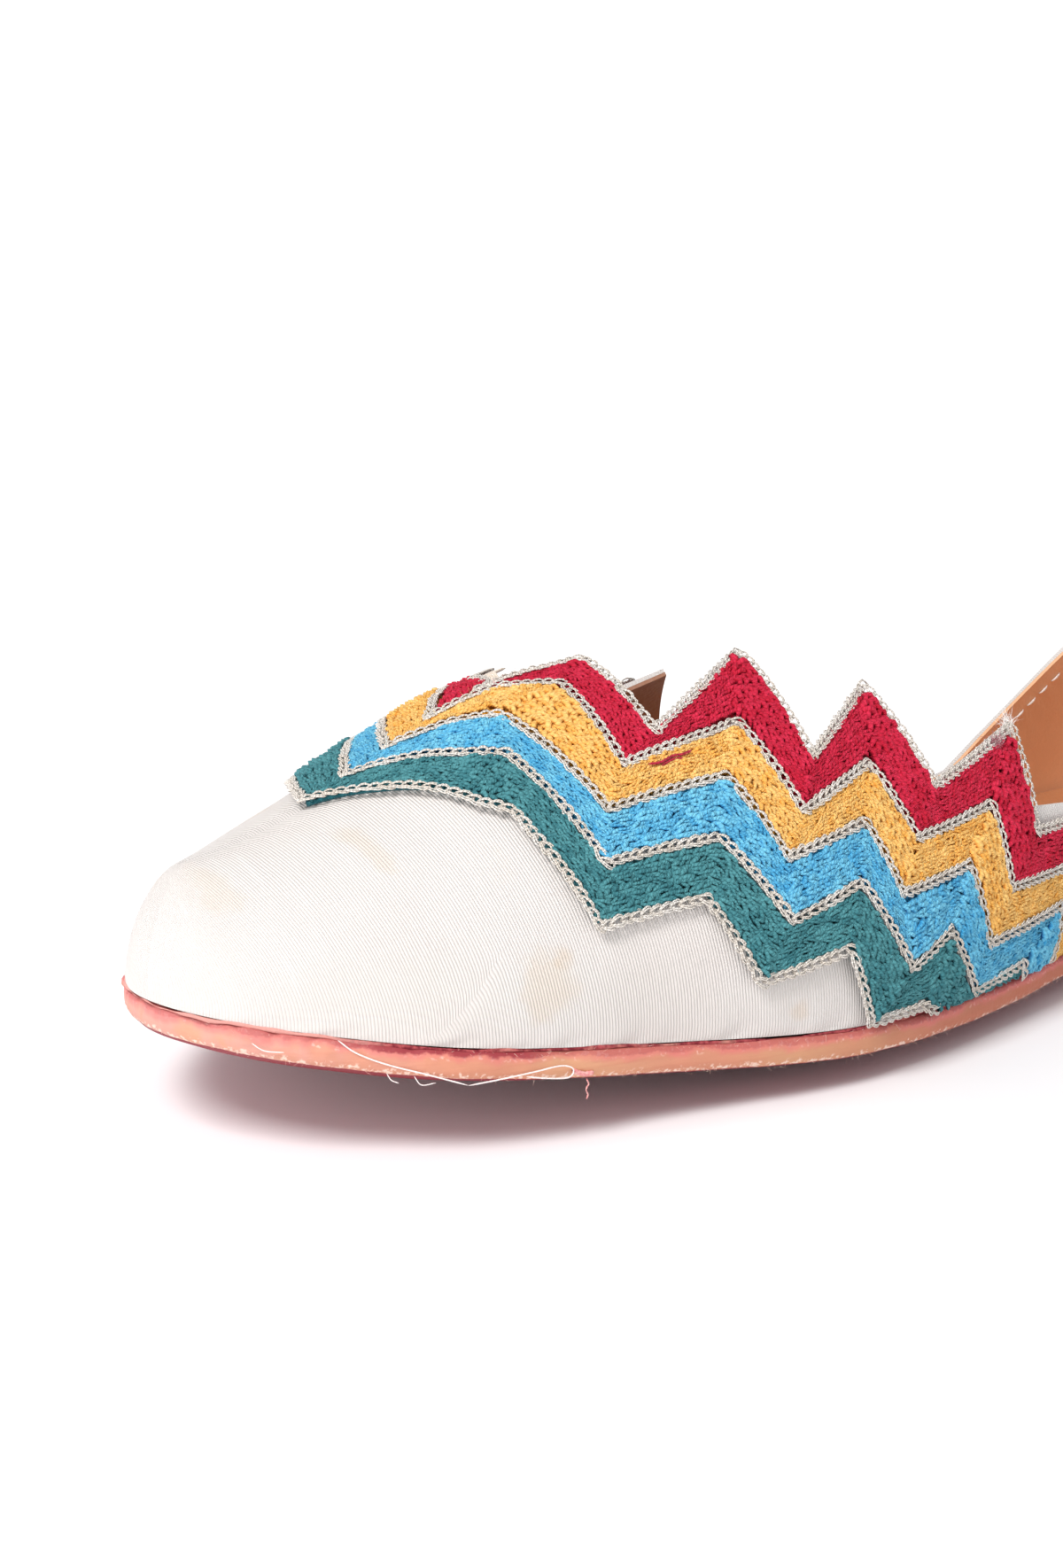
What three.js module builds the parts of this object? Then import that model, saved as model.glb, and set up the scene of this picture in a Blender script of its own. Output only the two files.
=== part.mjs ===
import * as THREE from 'three';
import { mergeVertices } from 'three/addons/utils/BufferGeometryUtils.js';

// A flat leather-soled mojari shoe with a hollow upper, an open zigzag topline and four raised
// zigzag bands that run from the throat down to the sole on both sides.
// X runs forward to the toe, Y to the wearer's left, Z up from the floor. Lengths are millimetres.

// Driving sizes
const soleLength = 250;
const ballWidth = 83;
const soleThickness = 3.5;
const soleEdgeReach = 0.6;
const soleEdgeRound = 0.7;
const soleCup = 3;
const cupReach = 10;
const toeSpring = 11;
const insoleThickness = 2;
const upperWall = 1.3;
const instepHeight = 42;
const noseReach = 7.7;
const heelReach = 30;
const wallBulge = 0.12;
const bandThickness = 1;
const chainWidth = 1;
const clearance = 0.3;
const bandSeat = 0.45;

// Shape numbers without a length
const archFullness = 1.71;
const springStart = 0.42;
const springCurve = 1.75;
const throatStation = 0.082;
const ribLean = 0.14;
const heelLeanStart = 0.7;
const bandFoot = 0.04;

// Steps of the faceted surfaces, as shares of the sole's length and of a rib's rise
const turnStep = 0.023;
const cornerStep = 0.12;
const frontRows = 7;
const ribColumns = 14;
const bandStep = 0.14;
const soleRows = 40;

function table(columns, rows) {
  return rows.map((row) => Object.fromEntries(columns.map((name, i) => [name, row[i]])));
}

// Sections of the last. along: share of the sole's length from the toe. lateral and medial: width
// from the centre line to each side, as shares of the ball width. crown: height of the crown line
// over the sole, as a share of the instep height. Behind the throat the crown is the last's own.
const sections = table(['along', 'lateral', 'medial', 'crown'], [
  [0.00, 0.000, 0.000, 0.380],
  [0.04, 0.216, 0.214, 0.428],
  [0.10, 0.343, 0.337, 0.580],
  [0.20, 0.420, 0.428, 0.884],
  [0.32, 0.498, 0.494, 1.048],
  [0.44, 0.470, 0.435, 1.105],
  [0.54, 0.412, 0.352, 1.190],
  [0.66, 0.372, 0.312, 1.320],
  [0.84, 0.335, 0.325, 1.500],
  [1.00, 0.000, 0.000, 1.570],
]);

// The cut edge of the upper on each side. station: where the rib leaves the sole, as a share of
// its length. rise: 0 at the sole, 1 at the crown line. Teeth first, then the open quarter.
const topline = {
  lateral: table(['station', 'rise'], [
    [0.082, 1.000], [0.142, 0.970], [0.171, 0.673], [0.247, 0.840], [0.265, 0.547], [0.325, 0.668],
    [0.356, 0.442], [0.440, 0.488], [0.444, 0.332], [0.486, 0.308], [0.600, 0.275], [0.680, 0.290],
    [0.760, 0.350], [0.840, 0.430], [0.920, 0.500], [1.000, 0.530],
  ]),
  medial: table(['station', 'rise'], [
    [0.082, 1.000],
    [0.116, 0.875],
    [0.157, 0.800],
    [0.186, 0.640],
    [0.250, 0.640],
    [0.300, 0.490],
    [0.334, 0.600],
    [0.386, 0.400],
    [0.425, 0.160],
    [0.520, 0.120],
    [0.620, 0.105],
    [0.678, 0.133],
    [0.702, 0.189],
    [0.726, 0.233],
    [0.785, 0.330],
    [0.850, 0.430],
    [0.920, 0.500],
    [1.000, 0.530],
  ]),
};

// Lines between the bands, from the toe to the heel. Ahead of its first corner a line runs on the
// crown, and behind its last corner it has reached the sole.
const tealFront = {
  lateral: table(['station', 'rise'], [
    [0.035, 1.000], [0.050, 0.860], [0.063, 0.751], [0.073, 0.657], [0.092, 0.535], [0.133, 0.303],
    [0.191, 0.318], [0.233, 0.145], [0.282, 0.188], [0.316, 0.022], [0.355, 0.035], [0.372, 0.000],
  ]),
  medial: table(['station', 'rise'], [
    [0.035, 1.000],
    [0.042, 0.870],
    [0.050, 0.770],
    [0.060, 0.670],
    [0.080, 0.540],
    [0.134, 0.295],
    [0.184, 0.270],
    [0.220, 0.110],
    [0.255, 0.140],
    [0.272, 0.000],
  ]),
};
const blueFront = {
  lateral: table(['station', 'rise'], [
    [0.045, 1.000], [0.071, 0.799], [0.133, 0.424], [0.197, 0.426], [0.242, 0.255], [0.285, 0.303],
    [0.333, 0.123], [0.361, 0.178], [0.403, 0.025], [0.448, 0.048], [0.456, 0.000],
  ]),
  medial: table(['station', 'rise'], [
    [0.045, 1.000],
    [0.055, 0.875],
    [0.064, 0.795],
    [0.078, 0.690],
    [0.134, 0.410],
    [0.194, 0.370],
    [0.235, 0.210],
    [0.272, 0.250],
    [0.303, 0.000],
  ]),
};
const yellowFront = {
  lateral: table(['station', 'rise'], [
    [0.055, 1.000], [0.081, 0.852], [0.135, 0.526], [0.205, 0.537], [0.237, 0.369], [0.291, 0.402],
    [0.317, 0.264], [0.376, 0.281], [0.402, 0.123], [0.482, 0.132], [0.487, 0.000],
  ]),
  medial: table(['station', 'rise'], [
    [0.055, 1.000],
    [0.064, 0.885],
    [0.078, 0.760],
    [0.095, 0.700],
    [0.136, 0.500],
    [0.204, 0.470],
    [0.247, 0.310],
    [0.287, 0.355],
    [0.325, 0.120],
    [0.340, 0.000],
  ]),
};
const crimsonFront = {
  lateral: table(['station', 'rise'], [
    [0.064, 1.000], [0.123, 0.867], [0.147, 0.608], [0.222, 0.639], [0.249, 0.443], [0.304, 0.502],
    [0.331, 0.351], [0.402, 0.366], [0.418, 0.210], [0.498, 0.195], [0.506, 0.000],
  ]),
  medial: table(['station', 'rise'], [
    [0.065, 1.000],
    [0.080, 0.870],
    [0.123, 0.750],
    [0.148, 0.580],
    [0.222, 0.545],
    [0.264, 0.380],
    [0.312, 0.430],
    [0.345, 0.250],
    [0.372, 0.000],
  ]),
};
const crimsonBack = {
  lateral: table(['station', 'rise'], [
    [0.078, 1.000], [0.124, 0.945], [0.141, 0.922], [0.166, 0.645], [0.241, 0.774], [0.262, 0.520],
    [0.321, 0.641], [0.352, 0.415], [0.433, 0.460], [0.447, 0.265], [0.530, 0.262], [0.543, 0.000],
  ]),
  medial: table(['station', 'rise'], [
    [0.077, 1.000],
    [0.110, 0.850],
    [0.150, 0.770],
    [0.176, 0.612],
    [0.246, 0.608],
    [0.298, 0.455],
    [0.330, 0.545],
    [0.380, 0.370],
    [0.408, 0.140],
    [0.420, 0.000],
  ]),
};

// A smooth curve through the rows of a table, read at one place between them
function smooth(xs, ys, x) {
  const last = xs.length - 1;
  const slope = (i) => (ys[i + 1] - ys[i]) / (xs[i + 1] - xs[i]);
  const tangent = (i) => {
    if (i === 0) return slope(0);
    if (i === last) return slope(last - 1);
    const before = xs[i] - xs[i - 1];
    const after = xs[i + 1] - xs[i];
    return (slope(i - 1) * after + slope(i) * before) / (before + after);
  };
  const at = THREE.MathUtils.clamp(x, xs[0], xs[last]);
  let i = 0;
  while (i < last - 1 && at > xs[i + 1]) i += 1;
  const width = xs[i + 1] - xs[i];
  const t = (at - xs[i]) / width;
  const rise = t * t * (3 - 2 * t);
  const curl = t * (1 - t);
  return ys[i] + (ys[i + 1] - ys[i]) * rise
    + width * curl * ((1 - t) * tangent(i) - t * tangent(i + 1));
}

// The turn is 0 at the toe and 1 at the heel, and crowds its steps where the outline is round
const turnOf = (along) => Math.acos(1 - 2 * THREE.MathUtils.clamp(along, 0, 1)) / Math.PI;
const alongOf = (turn) => (1 - Math.cos(Math.PI * turn)) / 2;
const sectionTurns = sections.map((row) => turnOf(row.along));
const sectionAlongs = sections.map((row) => row.along);

function halfWidth(side, turn) {
  return ballWidth * smooth(sectionTurns, sections.map((row) => row[side]), turn);
}

function crownHeight(distance) {
  const crowns = sections.map((row) => row.crown);
  return instepHeight * smooth(sectionAlongs, crowns, distance / soleLength);
}

function springHeight(distance) {
  const reach = springStart * soleLength;
  return toeSpring * Math.max((reach - distance) / reach, 0) ** springCurve;
}

// A point of the last. around: 0 at the lateral sole line, 1 on the crown, 2 at the medial one.
// Turns outside 0 to 1 run on past the toe or heel to the other side.
function lastPoint(turnIn, aroundIn) {
  let turn = turnIn;
  let around = aroundIn;
  if (turn < 0 || turn > 1) {
    turn = turn < 0 ? -turn : 2 - turn;
    around = 2 - around;
  }
  const side = around <= 1 ? 'lateral' : 'medial';
  const rise = around <= 1 ? around : 2 - around;
  const angle = rise * Math.PI / 2;
  const up = Math.max(Math.sin(angle), 0) ** (2 / archFullness);
  const out = Math.max(Math.cos(angle), 0) ** (2 / archFullness);
  const inward = 1 - out - wallBulge * Math.sin(angle) * Math.max(Math.cos(angle), 0) ** 3;
  const fromToe = soleLength * alongOf(turn);
  const fromHeel = soleLength - fromToe;
  const fan = (Math.hypot(fromToe, noseReach) - fromToe) - (Math.hypot(fromHeel, heelReach) - fromHeel);
  const distance = fromToe + fan * inward;
  const across = halfWidth(side, turn) * (1 - inward) * (side === 'lateral' ? 1 : -1);
  const soleLine = springHeight(distance) + soleCup + soleThickness + clearance;
  const height = soleLine + crownHeight(distance) * up;
  return new THREE.Vector3(soleLength / 2 - distance, across, height);
}

function lastNormal(turn, around) {
  const step = 0.004;
  const back = lastPoint(turn + step, around).sub(lastPoint(turn - step, around));
  const low = around < step ? around : around - step;
  const high = around > 2 - step ? around : around + step;
  const over = lastPoint(turn, high).sub(lastPoint(turn, low));
  return back.cross(over).normalize();
}

// Where a rib that leaves the sole at a station lies once it has risen
function ribAlong(station, rise) {
  const front = Math.min(station / throatStation, 1);
  const heel = Math.min((1 - station) / (1 - heelLeanStart), 1);
  return station + ribLean * front * heel * rise;
}

function ribPoint({ station, around, offset }) {
  const rise = around <= 1 ? around : 2 - around;
  const turn = turnOf(ribAlong(station, rise));
  return lastPoint(turn, around).addScaledVector(lastNormal(turn, around), offset);
}

function riseOn(line, station) {
  if (station <= line[0].station) return 1;
  const next = line.findIndex((row) => row.station >= station);
  if (next < 0) return line[line.length - 1].rise;
  const a = line[next - 1];
  const b = line[next];
  return a.rise + (b.rise - a.rise) * (station - a.station) / (b.station - a.station);
}

// Stations at every corner of the lines, with steps between corners that are far apart
function stationsOf(lines, first, last, extra = []) {
  const marks = new Set([first, last, ...extra]);
  for (const line of lines) {
    for (let i = 1; i < line.length; i += 1) {
      const [a, b] = [line[i - 1], line[i]];
      const turns = [turnOf(a.station), turnOf(b.station)];
      const spans = [(turns[1] - turns[0]) / turnStep, Math.abs(b.rise - a.rise) / cornerStep];
      const steps = Math.max(Math.ceil(spans[0]), Math.ceil(spans[1]), 1);
      for (let k = 0; k <= steps; k += 1) {
        marks.add(k === steps ? b.station : alongOf(turns[0] + (turns[1] - turns[0]) * k / steps));
      }
    }
  }
  const sorted = [...marks].filter((s) => s >= first && s <= last).sort((a, b) => a - b);
  const apart = 0.001;
  return sorted.filter((s, i) => i === 0 || s - sorted[i - 1] > apart);
}

// One closed solid from patches of the last's surface, each a grid of rib places
function thicken(patches, inner, outer) {
  const places = [];
  const spots = [];
  const indexOf = new Map();
  const grids = patches.map((rows) => rows.map((row) => row.map((place) => {
    const p = ribPoint({ ...place, offset: 0 });
    const key = [p.x, p.y, p.z].map((v) => Math.round(v * 1000)).join(',');
    if (!indexOf.has(key)) {
      indexOf.set(key, places.length);
      places.push(place);
      spots.push(p);
    }
    return indexOf.get(key);
  })));
  const faces = [];
  const addFace = (a, b, c) => {
    if (a !== b && b !== c && c !== a) faces.push([a, b, c]);
  };
  for (const grid of grids) {
    for (let i = 1; i < grid.length; i += 1) {
      for (let j = 1; j < grid[i].length; j += 1) {
        const [a, b, c, d] = [grid[i - 1][j - 1], grid[i - 1][j], grid[i][j], grid[i][j - 1]];
        if (spots[a].distanceTo(spots[c]) < spots[b].distanceTo(spots[d])) {
          addFace(a, c, b);
          addFace(a, d, c);
        } else {
          addFace(a, d, b);
          addFace(b, d, c);
        }
      }
    }
  }
  const edges = new Set(faces.flatMap(([a, b, c]) => [`${a},${b}`, `${b},${c}`, `${c},${a}`]));
  const count = places.length;
  const triangles = [];
  for (const [a, b, c] of faces) triangles.push([a, b, c], [c + count, b + count, a + count]);
  for (const edge of edges) {
    const [a, b] = edge.split(',').map(Number);
    if (!edges.has(`${b},${a}`)) triangles.push([b, a, a + count], [b, a + count, b + count]);
  }
  const points = [outer, inner].flatMap((offset) => places.map((place) => ribPoint({ ...place, offset })));
  return closedGeometry(points, triangles);
}

function closedGeometry(points, triangles) {
  const geometry = new THREE.BufferGeometry();
  geometry.setAttribute('position', new THREE.Float32BufferAttribute(points.flatMap((p) => p.toArray()), 3));
  geometry.setIndex(triangles.flat());
  return mergeVertices(geometry, 1e-4);
}

// The rows of a rib from one rise to another, on one side of the crown
function ribRow(side, station, low, high, columns, levels) {
  const rises = [];
  for (let j = 0; j <= columns; j += 1) {
    const share = j / columns;
    rises.push(levels ? Math.min(share, high) : low + (high - low) * share);
  }
  if (levels) rises[columns] = high;
  const row = rises.map((rise) => ({ station, around: side === 'lateral' ? rise : 2 - rise }));
  return side === 'lateral' ? row : row.reverse();
}

function makeUpper() {
  const front = [];
  for (let i = 0; i <= frontRows; i += 1) {
    const station = i === frontRows ? throatStation : alongOf(turnOf(throatStation) * i / frontRows);
    const lateral = ribRow('lateral', station, 0, 1, ribColumns, true);
    const medial = ribRow('medial', station, 0, 1, ribColumns, true);
    front.push([...lateral, ...medial.slice(1)]);
  }
  const quarters = ['lateral', 'medial'].map((side) => {
    const stations = stationsOf([topline[side]], throatStation, 1);
    return stations.map((s) => ribRow(side, s, 0, riseOn(topline[side], s), ribColumns, true));
  });
  return thicken([front, ...quarters], -upperWall, 0);
}

function makeBand(frontLine, backLine) {
  const riseGap = chainWidth / 2 / ((ballWidth / 2 + instepHeight) * Math.PI / 4);
  const stationGap = chainWidth / 2 / soleLength;
  const around = (line, s) => [riseOn(line, s - stationGap), riseOn(line, s + stationGap)];
  const first = frontLine.lateral[0].station;
  const sides = ['lateral', 'medial'];
  const last = Math.max(...sides.map((side) => backLine[side].at(-1).station));
  const lines = sides.flatMap((side) => [frontLine[side], backLine[side]]);
  const crownEnd = backLine.lateral[0].station - stationGap;
  const stations = stationsOf(lines, first, last, [crownEnd]);
  const spans = sides.map((side) => stations.map((s) => {
    const onCrown = s <= crownEnd;
    const high = onCrown ? 1 : Math.max(Math.min(...around(backLine[side], s)) - riseGap, bandFoot);
    const low = Math.max(Math.max(...around(frontLine[side], s)) + riseGap, bandFoot);
    return { s, low: Math.min(low, high), high };
  }));
  const widest = Math.max(...spans.flat().map(({ low, high }) => high - low));
  const columns = Math.ceil(widest / bandStep);
  const patches = sides.map((side, k) => spans[k].map(({ s, low, high }) => (
    ribRow(side, s, low, high, columns, false))));
  return thicken(patches, bandSeat, bandSeat + bandThickness);
}

// A sole layer follows the outline and the toe spring. Each ring is an inset from the sole line
// and a height over the layer's own base.
function makeLayer(base, rings) {
  const points = [];
  const ringSize = 2 * soleRows;
  for (const { inset, height } of rings) {
    for (let k = 0; k < ringSize; k += 1) {
      const lateral = k <= soleRows;
      const turn = lateral ? k / soleRows : (ringSize - k) / soleRows;
      points.push(outlinePoint(lateral ? 'lateral' : 'medial', turn, inset, base + height));
    }
  }
  const triangles = [];
  for (let r = 1; r < rings.length; r += 1) {
    for (let k = 0; k < ringSize; k += 1) {
      const next = (k + 1) % ringSize;
      const [a, b] = [(r - 1) * ringSize + k, (r - 1) * ringSize + next];
      const [c, d] = [r * ringSize + next, r * ringSize + k];
      triangles.push([a, b, c], [a, c, d]);
    }
  }
  const top = (rings.length - 1) * ringSize;
  for (let k = 0; k < soleRows; k += 1) {
    const across = (i) => (ringSize - i) % ringSize;
    const [a, b, c, d] = [k, k + 1, across(k + 1), across(k)];
    for (const [p, q, r] of [[a, b, c], [a, c, d]]) {
      if (p !== q && q !== r && r !== p) triangles.push([r, q, p], [p + top, q + top, r + top]);
    }
  }
  return closedGeometry(points, triangles);
}

function outlinePoint(side, turn, inset, height) {
  const sign = side === 'lateral' ? 1 : -1;
  const step = 0.002;
  const at = (u) => {
    const other = side === 'lateral' ? 'medial' : 'lateral';
    const inside = u >= 0 && u <= 1;
    const t = inside ? u : (u < 0 ? -u : 2 - u);
    const width = inside ? sign * halfWidth(side, t) : -sign * halfWidth(other, t);
    return new THREE.Vector2(soleLength * alongOf(t), width);
  };
  const point = at(turn);
  const run = at(turn + step).sub(at(turn - step)).normalize();
  const inwards = new THREE.Vector2(run.y, -run.x).multiplyScalar(sign * inset);
  point.add(inwards);
  return new THREE.Vector3(soleLength / 2 - point.x, point.y, springHeight(point.x) + height);
}

// The soles are cupped: their edge stands over their flat middle by this much at an inset
function cupHeight(inset) {
  return soleCup * Math.max(1 - Math.max(inset, 0) / cupReach, 0);
}

function makeOutsole() {
  return makeLayer(0, [
    { inset: cupReach, height: 0 },
    { inset: soleEdgeRound - soleEdgeReach, height: soleCup },
    { inset: -soleEdgeReach, height: soleCup + soleEdgeRound },
    { inset: -soleEdgeReach, height: soleCup + soleThickness - soleEdgeRound },
    { inset: soleEdgeRound / 2 - soleEdgeReach, height: soleCup + soleThickness },
    { inset: cupReach, height: soleThickness },
  ]);
}

function makeInsole() {
  const inset = upperWall + clearance + 0.25 * upperWall;
  const round = 0.3 * insoleThickness;
  const edge = cupHeight(inset);
  return makeLayer(soleThickness + clearance, [
    { inset: cupReach, height: 0 },
    { inset, height: edge },
    { inset, height: edge + insoleThickness - round },
    { inset: inset + round, height: edge + insoleThickness },
    { inset: cupReach, height: insoleThickness },
  ]);
}

function leather(color, roughness) {
  return new THREE.MeshStandardMaterial({ color, roughness, metalness: 0 });
}

function yarn(color) {
  return new THREE.MeshStandardMaterial({ color, roughness: 0.85, metalness: 0 });
}

const pieces = [
  ['outsole', makeOutsole(), leather('#d9945a', 0.6)],
  ['insole', makeInsole(), leather('#c88a62', 0.55)],
  ['upper', makeUpper(), new THREE.MeshStandardMaterial({ color: '#efe9e4', roughness: 0.5, metalness: 0 })],
  ['teal_band', makeBand(tealFront, blueFront), yarn('#2d6e73')],
  ['blue_band', makeBand(blueFront, yellowFront), yarn('#3296d7')],
  ['yellow_band', makeBand(yellowFront, crimsonFront), yarn('#fabe4b')],
  ['crimson_band', makeBand(crimsonFront, crimsonBack), yarn('#be143c')],
];

const shoe = new THREE.Group();
for (const [name, geometry, material] of pieces) {
  geometry.computeVertexNormals();
  const mesh = new THREE.Mesh(geometry, material);
  mesh.name = name;
  shoe.add(mesh);
}

// The floor under the middle of the shoe is the origin
const box = new THREE.Box3().setFromObject(shoe);
const middle = box.getCenter(new THREE.Vector3());
for (const mesh of shoe.children) mesh.position.set(-middle.x, -middle.y, -box.min.z);

export default shoe;
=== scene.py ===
"""Looks of a mojari shoe: ribbed silk over leather, yarn bands in chain stitch, a dyed leather sole.

Every piece lies on the shoe's own last surface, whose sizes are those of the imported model.
Lengths are metres. X runs forward to the toe, Y to the outer side, Z up from the floor.
"""

import math

import bpy
import numpy as np
from bpy.props import FloatProperty, FloatVectorProperty, IntProperty, PointerProperty
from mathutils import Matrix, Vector


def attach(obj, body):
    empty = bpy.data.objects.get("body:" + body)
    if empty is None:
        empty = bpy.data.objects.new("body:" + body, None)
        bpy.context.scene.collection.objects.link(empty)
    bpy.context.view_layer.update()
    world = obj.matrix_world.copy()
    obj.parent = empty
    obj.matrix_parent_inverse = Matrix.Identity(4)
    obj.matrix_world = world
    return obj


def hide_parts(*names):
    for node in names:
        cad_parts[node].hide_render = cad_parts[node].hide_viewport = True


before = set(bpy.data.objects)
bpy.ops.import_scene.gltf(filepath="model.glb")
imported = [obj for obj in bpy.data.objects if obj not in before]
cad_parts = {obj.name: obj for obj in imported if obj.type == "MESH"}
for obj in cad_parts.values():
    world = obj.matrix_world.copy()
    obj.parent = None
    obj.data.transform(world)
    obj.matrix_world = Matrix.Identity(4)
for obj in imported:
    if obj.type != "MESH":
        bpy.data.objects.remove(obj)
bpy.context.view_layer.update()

bl_info = {
    "name": "Mojari shoe",
    "version": (1, 0, 0),
    "blender": (4, 5, 0),
    "location": "3D View > Sidebar > Mojari",
    "description": "Builds the silk, yarn, leather and stage of a mojari shoe",
    "category": "Object",
}

# Sizes of the last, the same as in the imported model
SOLE_LENGTH = 0.250
BALL_WIDTH = 0.083
SOLE_THICKNESS = 0.0035
SOLE_CUP = 0.003
CUP_REACH = 0.010
TOE_SPRING = 0.011
INSTEP_HEIGHT = 0.042
NOSE_REACH = 0.0077
HEEL_REACH = 0.030
WALL_BULGE = 0.12
WALL = 0.0013
CLEARANCE = 0.0003
ARCH_FULLNESS = 1.71
SPRING_START = 0.42
SPRING_CURVE = 1.75
THROAT = 0.082
RIB_LEAN = 0.14
HEEL_LEAN_START = 0.7
SIDE_SHIFT = -0.0002

# Bends of a stitched line on each side, the rise below which no stitch lies, and how finely a
# line is read between two bends
LAST_CORNERS = {"lateral": 10.0, "medial": 6.0}
SOLE_MARGIN = 0.012
MARKS_PER_CORNER = 60

# Sections of the last: share of the length from the toe, widths to each side as shares of the
# ball width, crown height as a share of the instep height
SECTIONS = np.array([
    (0.00, 0.000, 0.000, 0.380),
    (0.04, 0.216, 0.214, 0.428),
    (0.10, 0.343, 0.337, 0.580),
    (0.20, 0.420, 0.428, 0.884),
    (0.32, 0.498, 0.494, 1.048),
    (0.44, 0.470, 0.435, 1.105),
    (0.54, 0.412, 0.352, 1.190),
    (0.66, 0.372, 0.312, 1.320),
    (0.84, 0.335, 0.325, 1.500),
    (1.00, 0.000, 0.000, 1.570),
])

# The cut edge of the upper: station along the sole, rise from the sole (0) to the crown (1)
TOPLINE = {
    "lateral": [
        (0.082, 1.000), (0.142, 0.970), (0.171, 0.673), (0.247, 0.840), (0.265, 0.547),
        (0.325, 0.668), (0.356, 0.442), (0.440, 0.488), (0.444, 0.332), (0.486, 0.308),
        (0.600, 0.275), (0.680, 0.290), (0.760, 0.350), (0.840, 0.430), (0.920, 0.500),
        (1.000, 0.530),
    ],
    "medial": [
        (0.082, 1.000), (0.116, 0.875), (0.157, 0.800), (0.186, 0.640), (0.250, 0.640),
        (0.300, 0.490), (0.334, 0.600), (0.386, 0.400), (0.425, 0.160), (0.520, 0.120),
        (0.620, 0.105), (0.678, 0.133), (0.702, 0.189), (0.726, 0.233), (0.785, 0.330),
        (0.850, 0.430), (0.920, 0.500), (1.000, 0.530),
    ],
}

# The stitched lines between the bands. corner: which bend of the zigzag, so that two lines can
# be matched. station and rise: where that bend lies.
LINES = {
    "teal_front": {
        "lateral": [
            (0, 0.035, 1.000), (0.33, 0.050, 0.860), (0.67, 0.063, 0.751), (1, 0.073, 0.657),
            (1.4, 0.092, 0.535), (2, 0.133, 0.303), (3, 0.191, 0.318), (4, 0.233, 0.145),
            (5, 0.282, 0.188), (6, 0.316, 0.022), (7, 0.355, 0.035), (8, 0.372, 0.000),
            (9, 0.430, 0.000), (10, 0.456, 0.000),
        ],
        "medial": [
            (0, 0.035, 1.000), (0.33, 0.042, 0.870), (0.67, 0.050, 0.770), (1, 0.060, 0.670),
            (1.4, 0.080, 0.540), (2, 0.134, 0.295), (3, 0.184, 0.270), (4, 0.220, 0.110),
            (5, 0.255, 0.140), (6, 0.272, 0.000),
        ],
    },
    "blue_front": {
        "lateral": [
            (0, 0.045, 1.000), (1, 0.071, 0.799), (2, 0.133, 0.424), (3, 0.197, 0.426),
            (4, 0.242, 0.255), (5, 0.285, 0.303), (6, 0.333, 0.123), (7, 0.361, 0.178),
            (8, 0.403, 0.025), (9, 0.448, 0.048), (10, 0.456, 0.000),
        ],
        "medial": [
            (0, 0.045, 1.000), (0.33, 0.055, 0.875), (0.67, 0.064, 0.795), (1, 0.078, 0.690),
            (2, 0.134, 0.410), (3, 0.194, 0.370), (4, 0.235, 0.210), (5, 0.272, 0.250),
            (6, 0.303, 0.000),
        ],
    },
    "yellow_front": {
        "lateral": [
            (0, 0.055, 1.000), (1, 0.081, 0.852), (2, 0.135, 0.526), (3, 0.205, 0.537),
            (4, 0.237, 0.369), (5, 0.291, 0.402), (6, 0.317, 0.264), (7, 0.376, 0.281),
            (8, 0.402, 0.123), (9, 0.482, 0.132), (10, 0.487, 0.000),
        ],
        "medial": [
            (0, 0.055, 1.000), (0.33, 0.064, 0.885), (0.67, 0.078, 0.760), (1, 0.095, 0.700),
            (2, 0.136, 0.500), (3, 0.204, 0.470), (4, 0.247, 0.310), (5, 0.287, 0.355),
            (5.6, 0.325, 0.120), (6, 0.340, 0.000),
        ],
    },
    "crimson_front": {
        "lateral": [
            (0, 0.065, 1.000), (1, 0.123, 0.867), (2, 0.147, 0.608), (3, 0.222, 0.639),
            (4, 0.249, 0.443), (5, 0.304, 0.502), (6, 0.331, 0.351), (7, 0.402, 0.366),
            (8, 0.418, 0.210), (9, 0.498, 0.195), (10, 0.506, 0.000),
        ],
        "medial": [
            (0, 0.065, 1.000), (0.5, 0.080, 0.870), (1, 0.123, 0.750), (2, 0.148, 0.580),
            (3, 0.222, 0.545), (4, 0.264, 0.380), (5, 0.312, 0.430), (5.6, 0.345, 0.250),
            (6, 0.372, 0.000),
        ],
    },
    "crimson_back": {
        "lateral": [
            (0, 0.077, 1.000), (0.6, 0.124, 0.958), (1, 0.141, 0.951), (2, 0.169, 0.662),
            (3, 0.2445, 0.814), (4, 0.2638, 0.536), (5, 0.3234, 0.657), (6, 0.3544, 0.431),
            (7, 0.437, 0.477), (8, 0.446, 0.285), (9, 0.530, 0.262), (10, 0.543, 0.000),
        ],
        "medial": [
            (0, 0.077, 1.000), (0.6, 0.110, 0.850), (1, 0.150, 0.770), (2, 0.176, 0.612),
            (3, 0.246, 0.608), (4, 0.298, 0.455), (5, 0.330, 0.545), (5.4, 0.380, 0.370),
            (5.8, 0.408, 0.140), (6, 0.420, 0.000),
        ],
    },
}

BANDS = {
    "teal_band": ("teal_front", "blue_front", "teal_yarn"),
    "blue_band": ("blue_front", "yellow_front", "blue_yarn"),
    "yellow_band": ("yellow_front", "crimson_front", "yellow_yarn"),
    "crimson_band": ("crimson_front", "crimson_back", "crimson_yarn"),
}


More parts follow.
